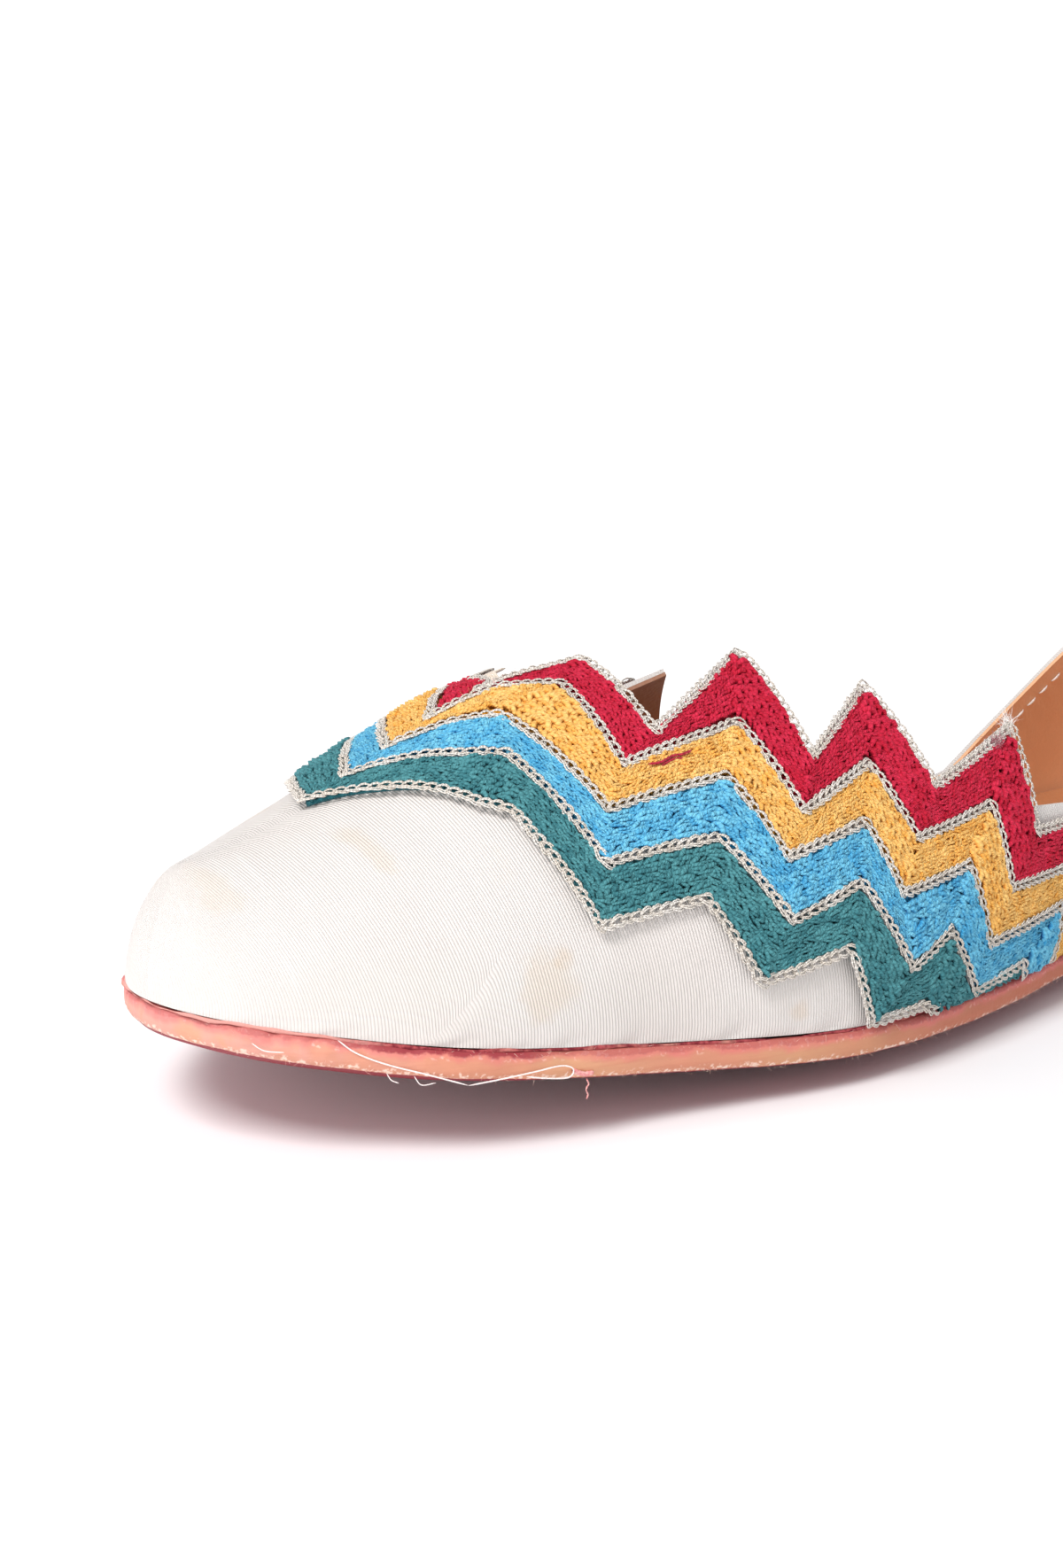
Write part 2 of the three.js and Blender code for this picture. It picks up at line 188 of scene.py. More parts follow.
def smooth(xs, ys, x):
    """A smooth curve through a table's rows, read at each x."""
    x = np.clip(x, xs[0], xs[-1])
    widths = np.diff(xs)
    slopes = np.diff(ys) / widths
    tangents = np.empty(len(xs))
    tangents[0], tangents[-1] = slopes[0], slopes[-1]
    before, after = widths[:-1], widths[1:]
    tangents[1:-1] = (slopes[:-1] * after + slopes[1:] * before) / (before + after)
    i = np.clip(np.searchsorted(xs, x, side="right") - 1, 0, len(xs) - 2)
    t = (x - xs[i]) / widths[i]
    curl = t * (1 - t)
    bend = widths[i] * curl * ((1 - t) * tangents[i] - t * tangents[i + 1])
    return ys[i] + (ys[i + 1] - ys[i]) * t * t * (3 - 2 * t) + bend


def turn_of(along):
    return np.arccos(1 - 2 * np.clip(along, 0, 1)) / np.pi


def along_of(turn):
    return (1 - np.cos(np.pi * turn)) / 2


def half_width(lateral, turn):
    turns = turn_of(SECTIONS[:, 0])
    outer = smooth(turns, SECTIONS[:, 1], turn)
    inner = smooth(turns, SECTIONS[:, 2], turn)
    return BALL_WIDTH * np.where(lateral, outer, inner)


def spring_height(distance):
    reach = SPRING_START * SOLE_LENGTH
    return TOE_SPRING * np.maximum((reach - distance) / reach, 0) ** SPRING_CURVE


def last_point(turn, around):
    """Points of the last. around is 0 at the outer sole line, 1 on the crown, 2 inside."""
    turn, around = np.broadcast_arrays(np.asarray(turn, float), np.asarray(around, float))
    beyond = (turn < 0) | (turn > 1)
    around = np.where(beyond, 2 - around, around)
    turn = np.where(turn < 0, -turn, np.where(turn > 1, 2 - turn, turn))
    lateral = around <= 1
    angle = np.where(lateral, around, 2 - around) * np.pi / 2
    up = np.maximum(np.sin(angle), 0) ** (2 / ARCH_FULLNESS)
    out = np.maximum(np.cos(angle), 0) ** (2 / ARCH_FULLNESS)
    inward = 1 - out - WALL_BULGE * np.sin(angle) * np.maximum(np.cos(angle), 0) ** 3
    from_toe = SOLE_LENGTH * along_of(turn)
    from_heel = SOLE_LENGTH - from_toe
    fan = np.hypot(from_toe, NOSE_REACH) - from_toe
    fan = fan - (np.hypot(from_heel, HEEL_REACH) - from_heel)
    distance = from_toe + fan * inward
    across = half_width(lateral, turn) * (1 - inward) * np.where(lateral, 1, -1)
    crown = INSTEP_HEIGHT * smooth(SECTIONS[:, 0], SECTIONS[:, 3], distance / SOLE_LENGTH)
    sole_line = spring_height(distance) + SOLE_CUP + SOLE_THICKNESS + CLEARANCE
    height = sole_line + crown * up
    return np.stack([SOLE_LENGTH / 2 - distance, across + SIDE_SHIFT, height], -1)


def unit(v):
    return v / np.maximum(np.linalg.norm(v, axis=-1, keepdims=True), 1e-12)


def last_normal(turn, around):
    step = 0.004
    turn, around = np.broadcast_arrays(np.asarray(turn, float), np.asarray(around, float))
    back = last_point(turn + step, around) - last_point(turn - step, around)
    low = np.where(around < step, around, around - step)
    high = np.where(around > 2 - step, around, around + step)
    over = last_point(turn, high) - last_point(turn, low)
    return unit(np.cross(back, over))


def rise_of(around):
    """Share of the way from the sole line up to the crown, on either side."""
    return np.where(around <= 1, around, 2 - around)


def rib_turn(station, rise):
    """The last's turn at a place on the upper, whose ribs lean back as they rise."""
    front = np.minimum(station / THROAT, 1)
    heel = np.minimum((1 - station) / (1 - HEEL_LEAN_START), 1)
    return turn_of(station + RIB_LEAN * front * heel * rise)


def rib_points(station, around, offset=0.0):
    """Points on the upper's surface, or off it by an offset along its normal."""
    station, around = np.broadcast_arrays(np.asarray(station, float), np.asarray(around, float))
    turn = rib_turn(station, rise_of(around))
    return last_point(turn, around) + np.asarray(offset)[..., None] * last_normal(turn, around)


def rib_normals(station, around):
    return last_normal(rib_turn(station, rise_of(around)), around)


def around_of(side, rise):
    return rise if side == "lateral" else 2 - rise


def topline_rise(side, station):
    rows = np.array(TOPLINE[side])
    return np.where(station <= rows[0, 0], 1.0, np.interp(station, rows[:, 0], rows[:, 1]))


def line_at(name, side, corner):
    """Station and rise of a stitched line at each corner number."""
    rows = np.array(LINES[name][side], float)
    station = np.interp(corner, rows[:, 0], rows[:, 1])
    return station, np.interp(corner, rows[:, 0], rows[:, 2])


def between_lines(ahead, behind, share):
    """Stations and rises a share of the way from one stitched line to the next."""
    return [first * (1 - share) + second * share for first, second in zip(ahead, behind)]


# The cloth was laid flat before it was lasted, and its threads run across the shoe. A grid over
# the last holds how far each place lies from the ball and from the crown, along the cloth.
CLOTH_ROWS = 240
CLOTH_COLUMNS = 160
BALL_ROW = 100
CROWN_COLUMN = 80


def cloth_grids():
    turns = np.linspace(0, 1, CLOTH_ROWS + 1)
    around = np.linspace(0, 2, CLOTH_COLUMNS + 1)
    places = last_point(turns[:, None], around[None, :])
    along = np.linalg.norm(np.diff(places, axis=0), axis=-1)
    along = np.concatenate([np.zeros((1, CLOTH_COLUMNS + 1)), np.cumsum(along, 0)])
    across = np.linalg.norm(np.diff(places, axis=1), axis=-1)
    across = np.concatenate([np.zeros((CLOTH_ROWS + 1, 1)), np.cumsum(across, 1)], axis=1)
    return along - along[BALL_ROW], across - across[:, CROWN_COLUMN, None]


CLOTH = cloth_grids()


def cloth_place(station, around):
    """The flat cloth's own coordinates at a place on the upper, in metres."""
    row = np.clip(rib_turn(station, rise_of(around)), 0, 1) * CLOTH_ROWS
    column = np.clip(around, 0, 2) * CLOTH_COLUMNS / 2
    i = np.minimum(row.astype(int), CLOTH_ROWS - 1)
    j = np.minimum(column.astype(int), CLOTH_COLUMNS - 1)
    row, column = row - i, column - j
    both = []
    for grid in CLOTH:
        near = grid[i, j] * (1 - column) + grid[i, j + 1] * column
        far = grid[i + 1, j] * (1 - column) + grid[i + 1, j + 1] * column
        both.append(near * (1 - row) + far * row)
    return np.stack(both, -1)


# Mesh making


def add_piece(name, points, faces, material, uv=None, tone=None):
    """A mesh object that rides on the shoe's body."""
    mesh = bpy.data.meshes.new(name)
    mesh.from_pydata(np.asarray(points).tolist(), [], np.asarray(faces).tolist())
    mesh.update()
    corners = np.empty(len(mesh.loops), dtype=np.int32)
    mesh.loops.foreach_get("vertex_index", corners)
    if uv is not None:
        layer = mesh.uv_layers.new(name="place")
        layer.data.foreach_set("uv", np.asarray(uv)[corners].astype(np.float32).ravel())
    if tone is not None:
        layer = mesh.attributes.new("tone", "FLOAT", "POINT")
        layer.data.foreach_set("value", np.asarray(tone, dtype=np.float32))
    mesh.polygons.foreach_set("use_smooth", np.ones(len(mesh.polygons), dtype=bool))
    obj = bpy.data.objects.new(name, mesh)
    bpy.context.scene.collection.objects.link(obj)
    mesh.materials.append(material)
    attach(obj, "root")
    return obj


def join_patches(patches, inner, outer, relief=None):
    """One closed shell from grids of (station, around), between two offsets."""
    places, faces = [], []
    start = 0
    for grid in patches:
        rows, columns = grid.shape[:2]
        index = start + np.arange(rows * columns).reshape(rows, columns)
        a, b = index[:-1, :-1], index[:-1, 1:]
        c, d = index[1:, 1:], index[1:, :-1]
        faces.append(np.stack([a, d, c], -1).reshape(-1, 3))
        faces.append(np.stack([a, c, b], -1).reshape(-1, 3))
        places.append(grid.reshape(-1, 2))
        start += rows * columns
    places = np.concatenate(places)
    faces = np.concatenate(faces)
    spots = rib_points(places[:, 0], places[:, 1], 0.0)
    _, first, back = np.unique(np.round(spots * 5e5).astype(np.int64), axis=0,
                               return_index=True, return_inverse=True)
    places, faces = places[first], back.ravel()[faces]
    whole = (faces[:, 0] != faces[:, 1]) & (faces[:, 1] != faces[:, 2]) & (faces[:, 2] != faces[:, 0])
    faces = faces[whole]
    extra = relief(places) if relief is not None else 0.0
    top = rib_points(places[:, 0], places[:, 1], outer + extra + np.zeros(len(places)))
    under = rib_points(places[:, 0], places[:, 1], inner + np.zeros(len(places)))
    edges = np.concatenate([faces[:, [0, 1]], faces[:, [1, 2]], faces[:, [2, 0]]])
    known = {tuple(e) for e in edges.tolist()}
    rim = np.array([e for e in known if (e[1], e[0]) not in known])
    n = len(places)
    walls = np.concatenate([
        np.stack([rim[:, 1], rim[:, 0], rim[:, 0] + n], -1),
        np.stack([rim[:, 1], rim[:, 0] + n, rim[:, 1] + n], -1),
    ])
    points = np.concatenate([top, under])
    triangles = np.concatenate([faces, faces[:, ::-1] + n, walls])
    return points, triangles, np.concatenate([places, places])


def sweep(path, radius, ring, closed, up=(0, 0, 1)):
    """Template of a tube along one path: its points, its faces and its two-way coordinates."""
    path = np.asarray(path, float)
    count = len(path)
    radius = np.broadcast_to(np.asarray(radius, float), (count,))
    if closed:
        ahead, behind = np.roll(path, -1, 0), np.roll(path, 1, 0)
    else:
        ahead = np.vstack([path[1:], path[-1:]])
        behind = np.vstack([path[:1], path[:-1]])
    run = unit(ahead - behind)
    up = np.broadcast_to(np.asarray(up, float), path.shape)
    side = unit(np.cross(up, run))
    top = np.cross(run, side)
    phase = np.arange(ring) * 2 * np.pi / ring
    spokes = side[:, None] * np.cos(phase)[None, :, None] + top[:, None] * np.sin(phase)[None, :, None]
    points = (path[:, None] + radius[:, None, None] * spokes).reshape(-1, 3)
    index = np.arange(count * ring).reshape(count, ring)
    near = index if closed else index[:-1]
    far = np.roll(index, -1, 0) if closed else index[1:]
    near_next, far_next = np.roll(near, -1, 1), np.roll(far, -1, 1)
    faces = np.stack([near, far, far_next, near_next], -1).reshape(-1, 4)
    uv = np.stack(np.meshgrid(np.arange(count) / count, phase / (2 * np.pi), indexing="ij"), -1)
    return points, faces, uv.reshape(-1, 2)


def walk(station, rise, side, spacing, offset):
    """Even steps along a line on the upper: each step's place, run, side way and normal, then
    the length of a step."""
    around = around_of(side, rise)
    points = rib_points(station, around, offset + np.zeros(len(station)))
    normals = rib_normals(station, around)
    lengths = np.concatenate([[0], np.cumsum(np.linalg.norm(np.diff(points, axis=0), axis=1))])
    count = max(int(lengths[-1] / spacing), 1)
    marks = (np.arange(count) + 0.5) * lengths[-1] / count

    def read(table, at):
        return np.stack([np.interp(at, lengths, table[:, k]) for k in range(3)], -1)

    step = lengths[-1] / count
    run = unit(read(points, marks + 0.45 * step) - read(points, marks - 0.45 * step))
    normal = unit(read(normals, marks))
    across = unit(np.cross(normal, run))
    return read(points, marks), run, across, np.cross(run, across), step


def stitch_mesh(template, steps, rng, wobble):
    """Copies of one stitch along many lines, each a little different."""
    shape, faces, uv = template
    parts, links, places, tones = [], [], [], []
    start = 0
    for origins, run, across, normal, length, width in steps:
        n = len(origins)
        width = np.broadcast_to(width, (n,))[:, None, None]
        jitter = 1 + wobble * rng.uniform(-1, 1, (n, 3))
        sway = wobble * 0.9 * rng.uniform(-1, 1, n)
        turned = run + sway[:, None] * across
        slid = across - sway[:, None] * run
        local = shape[None]
        points = (
            origins[:, None]
            + turned[:, None] * (local[..., 0:1] * length * jitter[:, None, 0:1])
            + slid[:, None] * (local[..., 1:2] * width * jitter[:, None, 1:2])
            + normal[:, None] * (local[..., 2:3] * width * jitter[:, None, 2:3])
        )
        parts.append(points.reshape(-1, 3))
        shift = start + np.arange(n)[:, None, None] * len(shape)
        links.append((faces[None] + shift).reshape(-1, faces.shape[1]))
        places.append(np.tile(uv, (n, 1)))
        tones.append(np.repeat(rng.uniform(0, 1, n), len(shape)))
        start += n * len(shape)
    return (np.concatenate(parts), np.concatenate(links), np.concatenate(places),
            np.concatenate(tones))


def loop_path(open_width, lift):
    """One chain stitch seen from above: narrow where it starts, round where the next holds it."""
    half = [(-0.58, 0.03), (-0.34, 0.20), (-0.05, 0.36), (0.26, 0.44), (0.52, 0.34), (0.68, 0.12)]
    points = [(x, y * open_width, lift * math.cos(2.3 * (x - 0.02))) for x, y in half]
    return points + [(x, -y, z) for x, y, z in reversed(points)]


def fibre_mesh(starts, ways, lengths, width, rng):
    """Thin curved ribbons, one for each loose fibre."""
    count = len(starts)
    ways = unit(ways)
    bend = rng.normal(0, 1.0, (count, 3))
    side = unit(np.cross(ways, rng.normal(0, 1.0, (count, 3))))
    rows = []
    for share in (0.0, 0.35, 0.7, 1.0):
        lengths_here = lengths[:, None] * share
        middle = starts + ways * lengths_here + bend * lengths_here * share * 0.35
        half = side * width * (1 - 0.6 * share) / 2
        rows += [middle - half, middle + half]
    points = np.stack(rows, 1).reshape(-1, 3)
    base = np.arange(count)[:, None, None] * 8
    quads = np.array([[0, 1, 3, 2], [2, 3, 5, 4], [4, 5, 7, 6]])[None] + base
    return points, quads.reshape(-1, 4)


def curve_through(marks, steps=8):
    """A smooth path through a list of places."""
    marks = np.asarray(marks, float)
    padded = np.vstack([2 * marks[0] - marks[1], marks, 2 * marks[-1] - marks[-2]])
    t = np.linspace(0, 1, steps, endpoint=False)[:, None]
    path = []
    for a, b, c, d in zip(padded, padded[1:], padded[2:], padded[3:]):
        bend = (2 * a - 5 * b + 4 * c - d) * t ** 2 + (3 * b - a - 3 * c + d) * t ** 3
        path.append(b + 0.5 * ((c - a) * t + bend))
    return np.vstack([*path, marks[-1:]])


def join_strands(paths, radii, ups, ring=6):
    """Thin tubes with tapered ends, in one mesh."""
    parts, links = [], []
    start = 0
    for path, radius, up in zip(paths, radii, ups):
        ends = np.minimum(np.arange(len(path)), np.arange(len(path))[::-1])
        taper = np.clip(0.35 + ends / 3, 0, 1)
        points, faces, _ = sweep(path, radius * taper, ring, False, up=up)
        parts.append(points)
        links.append(faces + start)
        start += len(points)
    return np.concatenate(parts), np.concatenate(links)


def soften(points, faces, amount, rounds):
    """Moves each point part of the way to the middle of its neighbours, again and again."""
    edges = np.concatenate([faces[:, [0, 1]], faces[:, [1, 2]], faces[:, [2, 0]]])
    edges = np.unique(np.sort(edges, axis=1), axis=0)
    counts = np.bincount(edges.ravel(), minlength=len(points))
    for _ in range(rounds):
        total = np.zeros_like(points)
        np.add.at(total, edges[:, 0], points[edges[:, 1]])
        np.add.at(total, edges[:, 1], points[edges[:, 0]])
        middle = total / np.maximum(counts, 1)[:, None]
        points = points + amount[:, None] * (middle - points)
    return points


def join_templates(first, second):
    points = np.concatenate([first[0], second[0]])
    faces = np.concatenate([first[1], second[1] + len(first[0])])
    return points, faces, np.concatenate([first[2], second[2]])


def pair_template():
    """One yarn stitch: two plump strands that spread from one point over a thinner third."""
    strands = []
    for sign in (1, -1):
        path = [(-0.62, sign * 0.02, -0.10), (-0.38, sign * 0.12, 0.20), (-0.04, sign * 0.25, 0.34),
                (0.28, sign * 0.40, 0.20), (0.52, sign * 0.44, -0.16)]
        radius = [0.13, 0.22, 0.25, 0.23, 0.12]
        strands.append(sweep(path, radius, 5, False))
    middle = sweep([(-0.25, 0.0, -0.10), (0.15, 0.03, 0.02), (0.55, 0.0, -0.14)],
                   [0.12, 0.20, 0.12], 4, False)
    return join_templates(join_templates(*strands), middle)


def link_template():
    """One metallic chain stitch: two fine filaments side by side in a loop."""
    outer = sweep(loop_path(1.0, 0.24), 0.070, 4, True)
    inner = sweep([(0.9 * x + 0.02, 0.60 * y, z + 0.06) for x, y, z in loop_path(1.0, 0.22)],
                  0.066, 4, True)
    return join_templates(outer, inner)


# Material making


class Value:
    """A socket of a material's node tree that can stand in an expression."""

    def __init__(self, tree, socket):
        self.tree = tree
        self.socket = socket

    def math(self, operation, *others, swapped=False):
        items = (*others, self) if swapped else (self, *others)
        made = add_node(self.tree, "ShaderNodeMath", {"operation": operation},
                        dict(enumerate(items)))
        return Value(self.tree, made.outputs[0])

    def __add__(self, other):
        return self.math("ADD", other)

    __radd__ = __add__

    def __sub__(self, other):
        return self.math("SUBTRACT", other)

    def __rsub__(self, other):
        return self.math("SUBTRACT", other, swapped=True)

    def __mul__(self, other):
        return self.math("MULTIPLY", other)

    __rmul__ = __mul__

    def __truediv__(self, other):
        return self.math("DIVIDE", other)

    def __rtruediv__(self, other):
        return self.math("DIVIDE", other, swapped=True)

    def wave(self):
        """A sine that runs from 0 to 1."""
        return self.math("SINE") * 0.5 + 0.5

    def squared(self):
        return self.math("POWER", 2.0)

    def between(self, low, high):
        """0 below low, 1 above high, soft between."""
        made = add_node(self.tree, "ShaderNodeMapRange", {"interpolation_type": "SMOOTHSTEP"},
                        {0: self, 1: low, 2: high})
        return Value(self.tree, made.outputs[0])


def connect(target, item):
    """Links a value to a socket, or sets the socket to a constant."""
    if isinstance(item, Value):
        item.tree.links.new(item.socket, target)
    else:
        target.default_value = item


def add_node(tree, kind, settings=None, sockets=None):
    """A new node: its type, then its settings, then what its sockets get."""
    made = tree.nodes.new(kind)
    for key, value in (settings or {}).items():
        setattr(made, key, value)
    for key, item in (sockets or {}).items():
        connect(made.inputs[key], item)
    return made


class Finish:
    """One material: a Principled shader, whose constants are set when it is made."""

    def __init__(self, name, **constants):
        self.material = bpy.data.materials.new(name)
        self.material.use_nodes = True
        self.tree = self.material.node_tree
        self.shader = self.tree.nodes["Principled BSDF"]
        for key, value in constants.items():
            self.shader.inputs[key.replace("_", " ")].default_value = value

    def node(self, kind, settings=None, output=0, **sockets):
        """Any other node: its type, its settings, and what feeds its sockets."""
        named = {key.replace("_", " "): item for key, item in sockets.items()}
        return Value(self.tree, add_node(self.tree, kind, settings, named).outputs[output])

    def place(self):
        """The object's own coordinates, in metres."""
        return self.node("ShaderNodeTexCoord", output=3)

    def pair(self):
        """The two numbers of the mesh's place map."""
        vector = self.node("ShaderNodeUVMap", {"uv_map": "place"})
        return self.split(vector)[:2]

    def split(self, vector):
        """The three numbers of a vector."""
        made = add_node(self.tree, "ShaderNodeSeparateXYZ", None, {0: vector})
        return [Value(self.tree, socket) for socket in made.outputs]

    def tone(self):
        """A number from 0 to 1 that each stitch has of its own."""
        return self.node("ShaderNodeAttribute", {"attribute_name": "tone"}, output=2)

    def noise(self, scale, detail=3.0, stretch=None):
        vector = self.place()
        if stretch is not None:
            vector = self.node("ShaderNodeMapping", Vector=vector, Scale=stretch)
        return self.node("ShaderNodeTexNoise", Vector=vector, Scale=scale, Detail=detail)

    def mix(self, factor, first, second):
        """A colour between two, each a value or a constant."""
        first, second = (item if isinstance(item, Value) else (*item, 1.0)
                         for item in (first, second))
        made = add_node(self.tree, "ShaderNodeMix", {"data_type": "RGBA"},
                        {0: factor, 6: first, 7: second})
        return Value(self.tree, made.outputs[2])

    def bump(self, height, distance, strength=1.0):
        return self.node("ShaderNodeBump", Height=height, Distance=distance, Strength=strength)

    def finish(self, **sockets):
        for key, item in sockets.items():
            connect(self.shader.inputs[key.replace("_", " ")], item)
        return self.material


def srgb(red, green, blue):
    """A colour as the screen shows it, turned into light."""
    def one(level):
        level /= 255
        return level / 12.92 if level <= 0.04045 else ((level + 0.055) / 1.055) ** 2.4
    return (one(red), one(green), one(blue))


# Stains of the silk, seen from the side: forward, up, radius, strength
SILK_STAINS = (
    (0.0890, 0.0196, 0.0045, 0.24),
    (0.0861, 0.0224, 0.0020, 0.30),
    (0.1008, 0.0343, 0.0026, 0.20),
    (0.1184, 0.0308, 0.0030, 0.16),
    (0.0554, 0.0117, 0.0020, 0.25),
)


def silk_finish(pitch, dark, light):
    """Ribbed silk: fine threads across the shoe, thicker slubs here and there, and a few stains."""
    look = Finish("silk", Roughness=0.62, Sheen_Weight=0.25, Sheen_Roughness=0.4,
                  Specular_IOR_Level=0.35)
    along, across = look.pair()
    drift = look.noise(120.0, 2.0)
    thread = ((along + drift * 0.0005) * (2 * math.pi / pitch)).wave()
    weft = (across * (2 * math.pi / (pitch * 0.62)) + drift * 6.0).wave()
    slub = look.noise(900.0, 2.0, stretch=(1.0, 0.12, 0.12))
    blotch = look.noise(38.0, 4.0)
    stain = look.noise(75.0, 5.0).between(0.58, 0.74)
    base = look.mix(blotch.between(0.3, 0.7), dark, light)
    base = look.mix(thread * 0.36 + weft * 0.05, base, srgb(206, 194, 186))
    base = look.mix(slub.between(0.62, 0.8) * 0.15, base, srgb(250, 248, 246))
    base = look.mix(stain * 0.12, base, srgb(222, 204, 180))
    x, _, z = look.split(look.place())
    edge = look.noise(300.0, 4.0)
    for spot_x, spot_z, size, amount in SILK_STAINS:
        gap = ((x - spot_x).squared() + (z - spot_z).squared()).math("SQRT")
        mask = 1 - (gap / size + (edge - 0.5) * 1.6).between(0.3, 1.0)
        base = look.mix(mask * amount, base, srgb(206, 178, 140))
    height = thread * 0.6 + weft * 0.1 + slub * 0.5
    return look.finish(Base_Color=base, Roughness=blotch * 0.2 + 0.5,
                       Normal=look.bump(height, 0.00018, 0.8))


def leather_finish(name, light, dark, shade=None):
    """Smooth leather with pores. An optional painted shade darkens it forward of the shoe's middle,
    where the vamp covers the lining.
    """
    look = Finish(name, Roughness=0.5, Specular_IOR_Level=0.4)
    broad = look.noise(45.0, 4.0)
    grain = look.noise(1500.0, 5.0)
    pores = look.node("ShaderNodeTexVoronoi", Vector=look.place(), Scale=1400.0)
    base = look.mix(broad.between(0.1, 0.9), dark, light)
    base = look.mix((1 - pores.between(0.05, 0.3)) * 0.25, base, dark)
    if shade is not None:
        x, _, _ = look.split(look.place())
        # Painted shade: forward of the middle the leather turns towards the shade colour, standing in
        # for the shade under the vamp
        base = look.mix((x + broad * 0.01).between(-0.012, 0.012) * 0.85, base, shade)
    return look.finish(Base_Color=base, Roughness=grain * 0.2 + 0.38,
                       Normal=look.bump(grain * 0.5 + pores * 0.6, 0.0001, 0.6))


def sole_finish(dark, light):
    """Natural leather edge, dyed dark red along the top and underneath, pale and frayed below."""
    look = Finish("sole_leather", Roughness=0.6, Specular_IOR_Level=0.35)
    _, height = look.pair()
    x, _, _ = look.split(look.place())
    rough = look.noise(260.0, 5.0)
    fine = look.noise(1600.0, 4.0)
    broad = look.noise(40.0, 3.0)
    layer = look.noise(500.0, 4.0, stretch=(0.12, 0.12, 3.0))
    base = look.mix(broad.between(0.35, 0.65), dark, light)
    base = look.mix(layer.between(0.5, 0.75) * 0.4, base, srgb(200, 124, 98))
    toe = x.between(0.100, 0.117)
    base = look.mix(toe * (rough.between(0.35, 0.6) * 0.6 + 0.25), base, srgb(212, 154, 142))
    right = (0.06 - x).between(-0.02, 0.06)
    base = look.mix(right * 0.85, base, srgb(176, 90, 66))
    border = 1 - height.between(0.12, 0.3) * (1 - height.between(0.6, 0.75))
    base = look.mix(fine.between(0.56, 0.66) * border * 0.5, base, srgb(246, 220, 206))
    pink = (height + (rough - 0.5) * 0.9).between(0.5, 0.8)
    base = look.mix(pink * 0.6, base, srgb(214, 112, 112))
    dyed = x.between(0.088, 0.094) * (1 - x.between(0.108, 0.114))
    top = (height + (rough - 0.5) * 0.5 + (fine - 0.5) * 0.2).between(0.74, 0.86)
    base = look.mix(top * (dyed * 0.5 + 0.4), base, srgb(146, 44, 56))
    lint = (height * -1.0 + 0.2 + (fine - 0.5) * 0.6).between(0.05, 0.2) * fine.between(0.45, 0.6)
    base = look.mix(lint * 0.8, base, srgb(240, 214, 196))
    under = (height * -1.0 + (rough - 0.5) * 0.12).between(-0.02, 0.02)
    red = look.mix(broad, srgb(128, 30, 46), srgb(156, 54, 62))
    base = look.mix(under, base, red)
    relief = rough * 0.5 + fine * 0.3 + layer * 0.6
    return look.finish(Base_Color=base, Roughness=fine * 0.25 + 0.45,
                       Normal=look.bump(relief, 0.00025, 0.8))


def bead_finish():
    """Dried red paste along the sole's top, paler where the leather is torn at the toe."""
    look = Finish("paste_line", Roughness=0.7, Specular_IOR_Level=0.2)
    fine = look.noise(1400.0, 4.0)
    rough = look.noise(300.0, 4.0)
    base = look.mix(fine.between(0.35, 0.65), srgb(120, 34, 46), srgb(176, 82, 84))
    base = look.mix(rough.between(0.5, 0.7) * 0.7, base, srgb(222, 158, 142))
    x, _, _ = look.split(look.place())
    torn = (x + (rough - 0.5) * 0.01).between(0.106, 0.114)
    base = look.mix(torn * 0.85, base, srgb(222, 160, 150))
    return look.finish(Base_Color=base, Normal=look.bump(fine + rough, 0.0003))


def yarn_finish(name, shade, light, painted_shade):
    """Twisted yarn with painted light: a painted highlight along its strands' tops, painted shade on
    their flanks and in the grooves of the twist.
    """
    look = Finish(name, Roughness=0.7, Sheen_Weight=0.12, Sheen_Roughness=0.4,
                  Specular_IOR_Level=0.22)
    look.shader.inputs["Sheen Tint"].default_value = (*light, 1.0)
    along, ring = look.pair()
    twist = ((along * 9.0 + ring * 2.0) * (2 * math.pi)).wave()
    fluff = look.noise(4500.0, 3.0)
    broad = look.noise(90.0, 3.0)
    ridge = (ring * (2 * math.pi)).math("SINE")
    base = look.mix(look.tone() * 0.5 + broad * 0.2, shade, light)
    # Painted highlight: the tops of the strands turn towards the light colour
    base = look.mix(ridge.between(0.4, 1.0) * (look.tone() * 0.5 + 0.25), base, light)
    # Painted shade in the grooves of the twist
    base = look.mix((1 - twist) * 0.2, base, painted_shade)
    # Painted shade on the flanks and undersides of the strands
    base = look.mix((1 - ridge.between(-0.3, 0.55)) * 0.8, base, painted_shade)
    base = look.mix(fluff.between(0.62, 0.8) * 0.3, base, light)
    return look.finish(Base_Color=base, Normal=look.bump(twist * 0.7 + fluff * 0.5, 0.00018, 0.9))


def bed_finish(name, shade, painted_shade):
    """The matted yarn that shows between the stitches: its own shade patched by noise with painted
    shade of the hollows.
    """
    look = Finish(name, Roughness=0.85, Sheen_Weight=0.2, Specular_IOR_Level=0.15)
    fluff = look.noise(2600.0, 4.0)
    # Painted shade of the hollows between stitches, patched into the yarn's own shade by noise
    base = look.mix(fluff.between(0.15, 0.4), painted_shade, shade)
    return look.finish(Base_Color=base, Normal=look.bump(fluff, 0.0004))


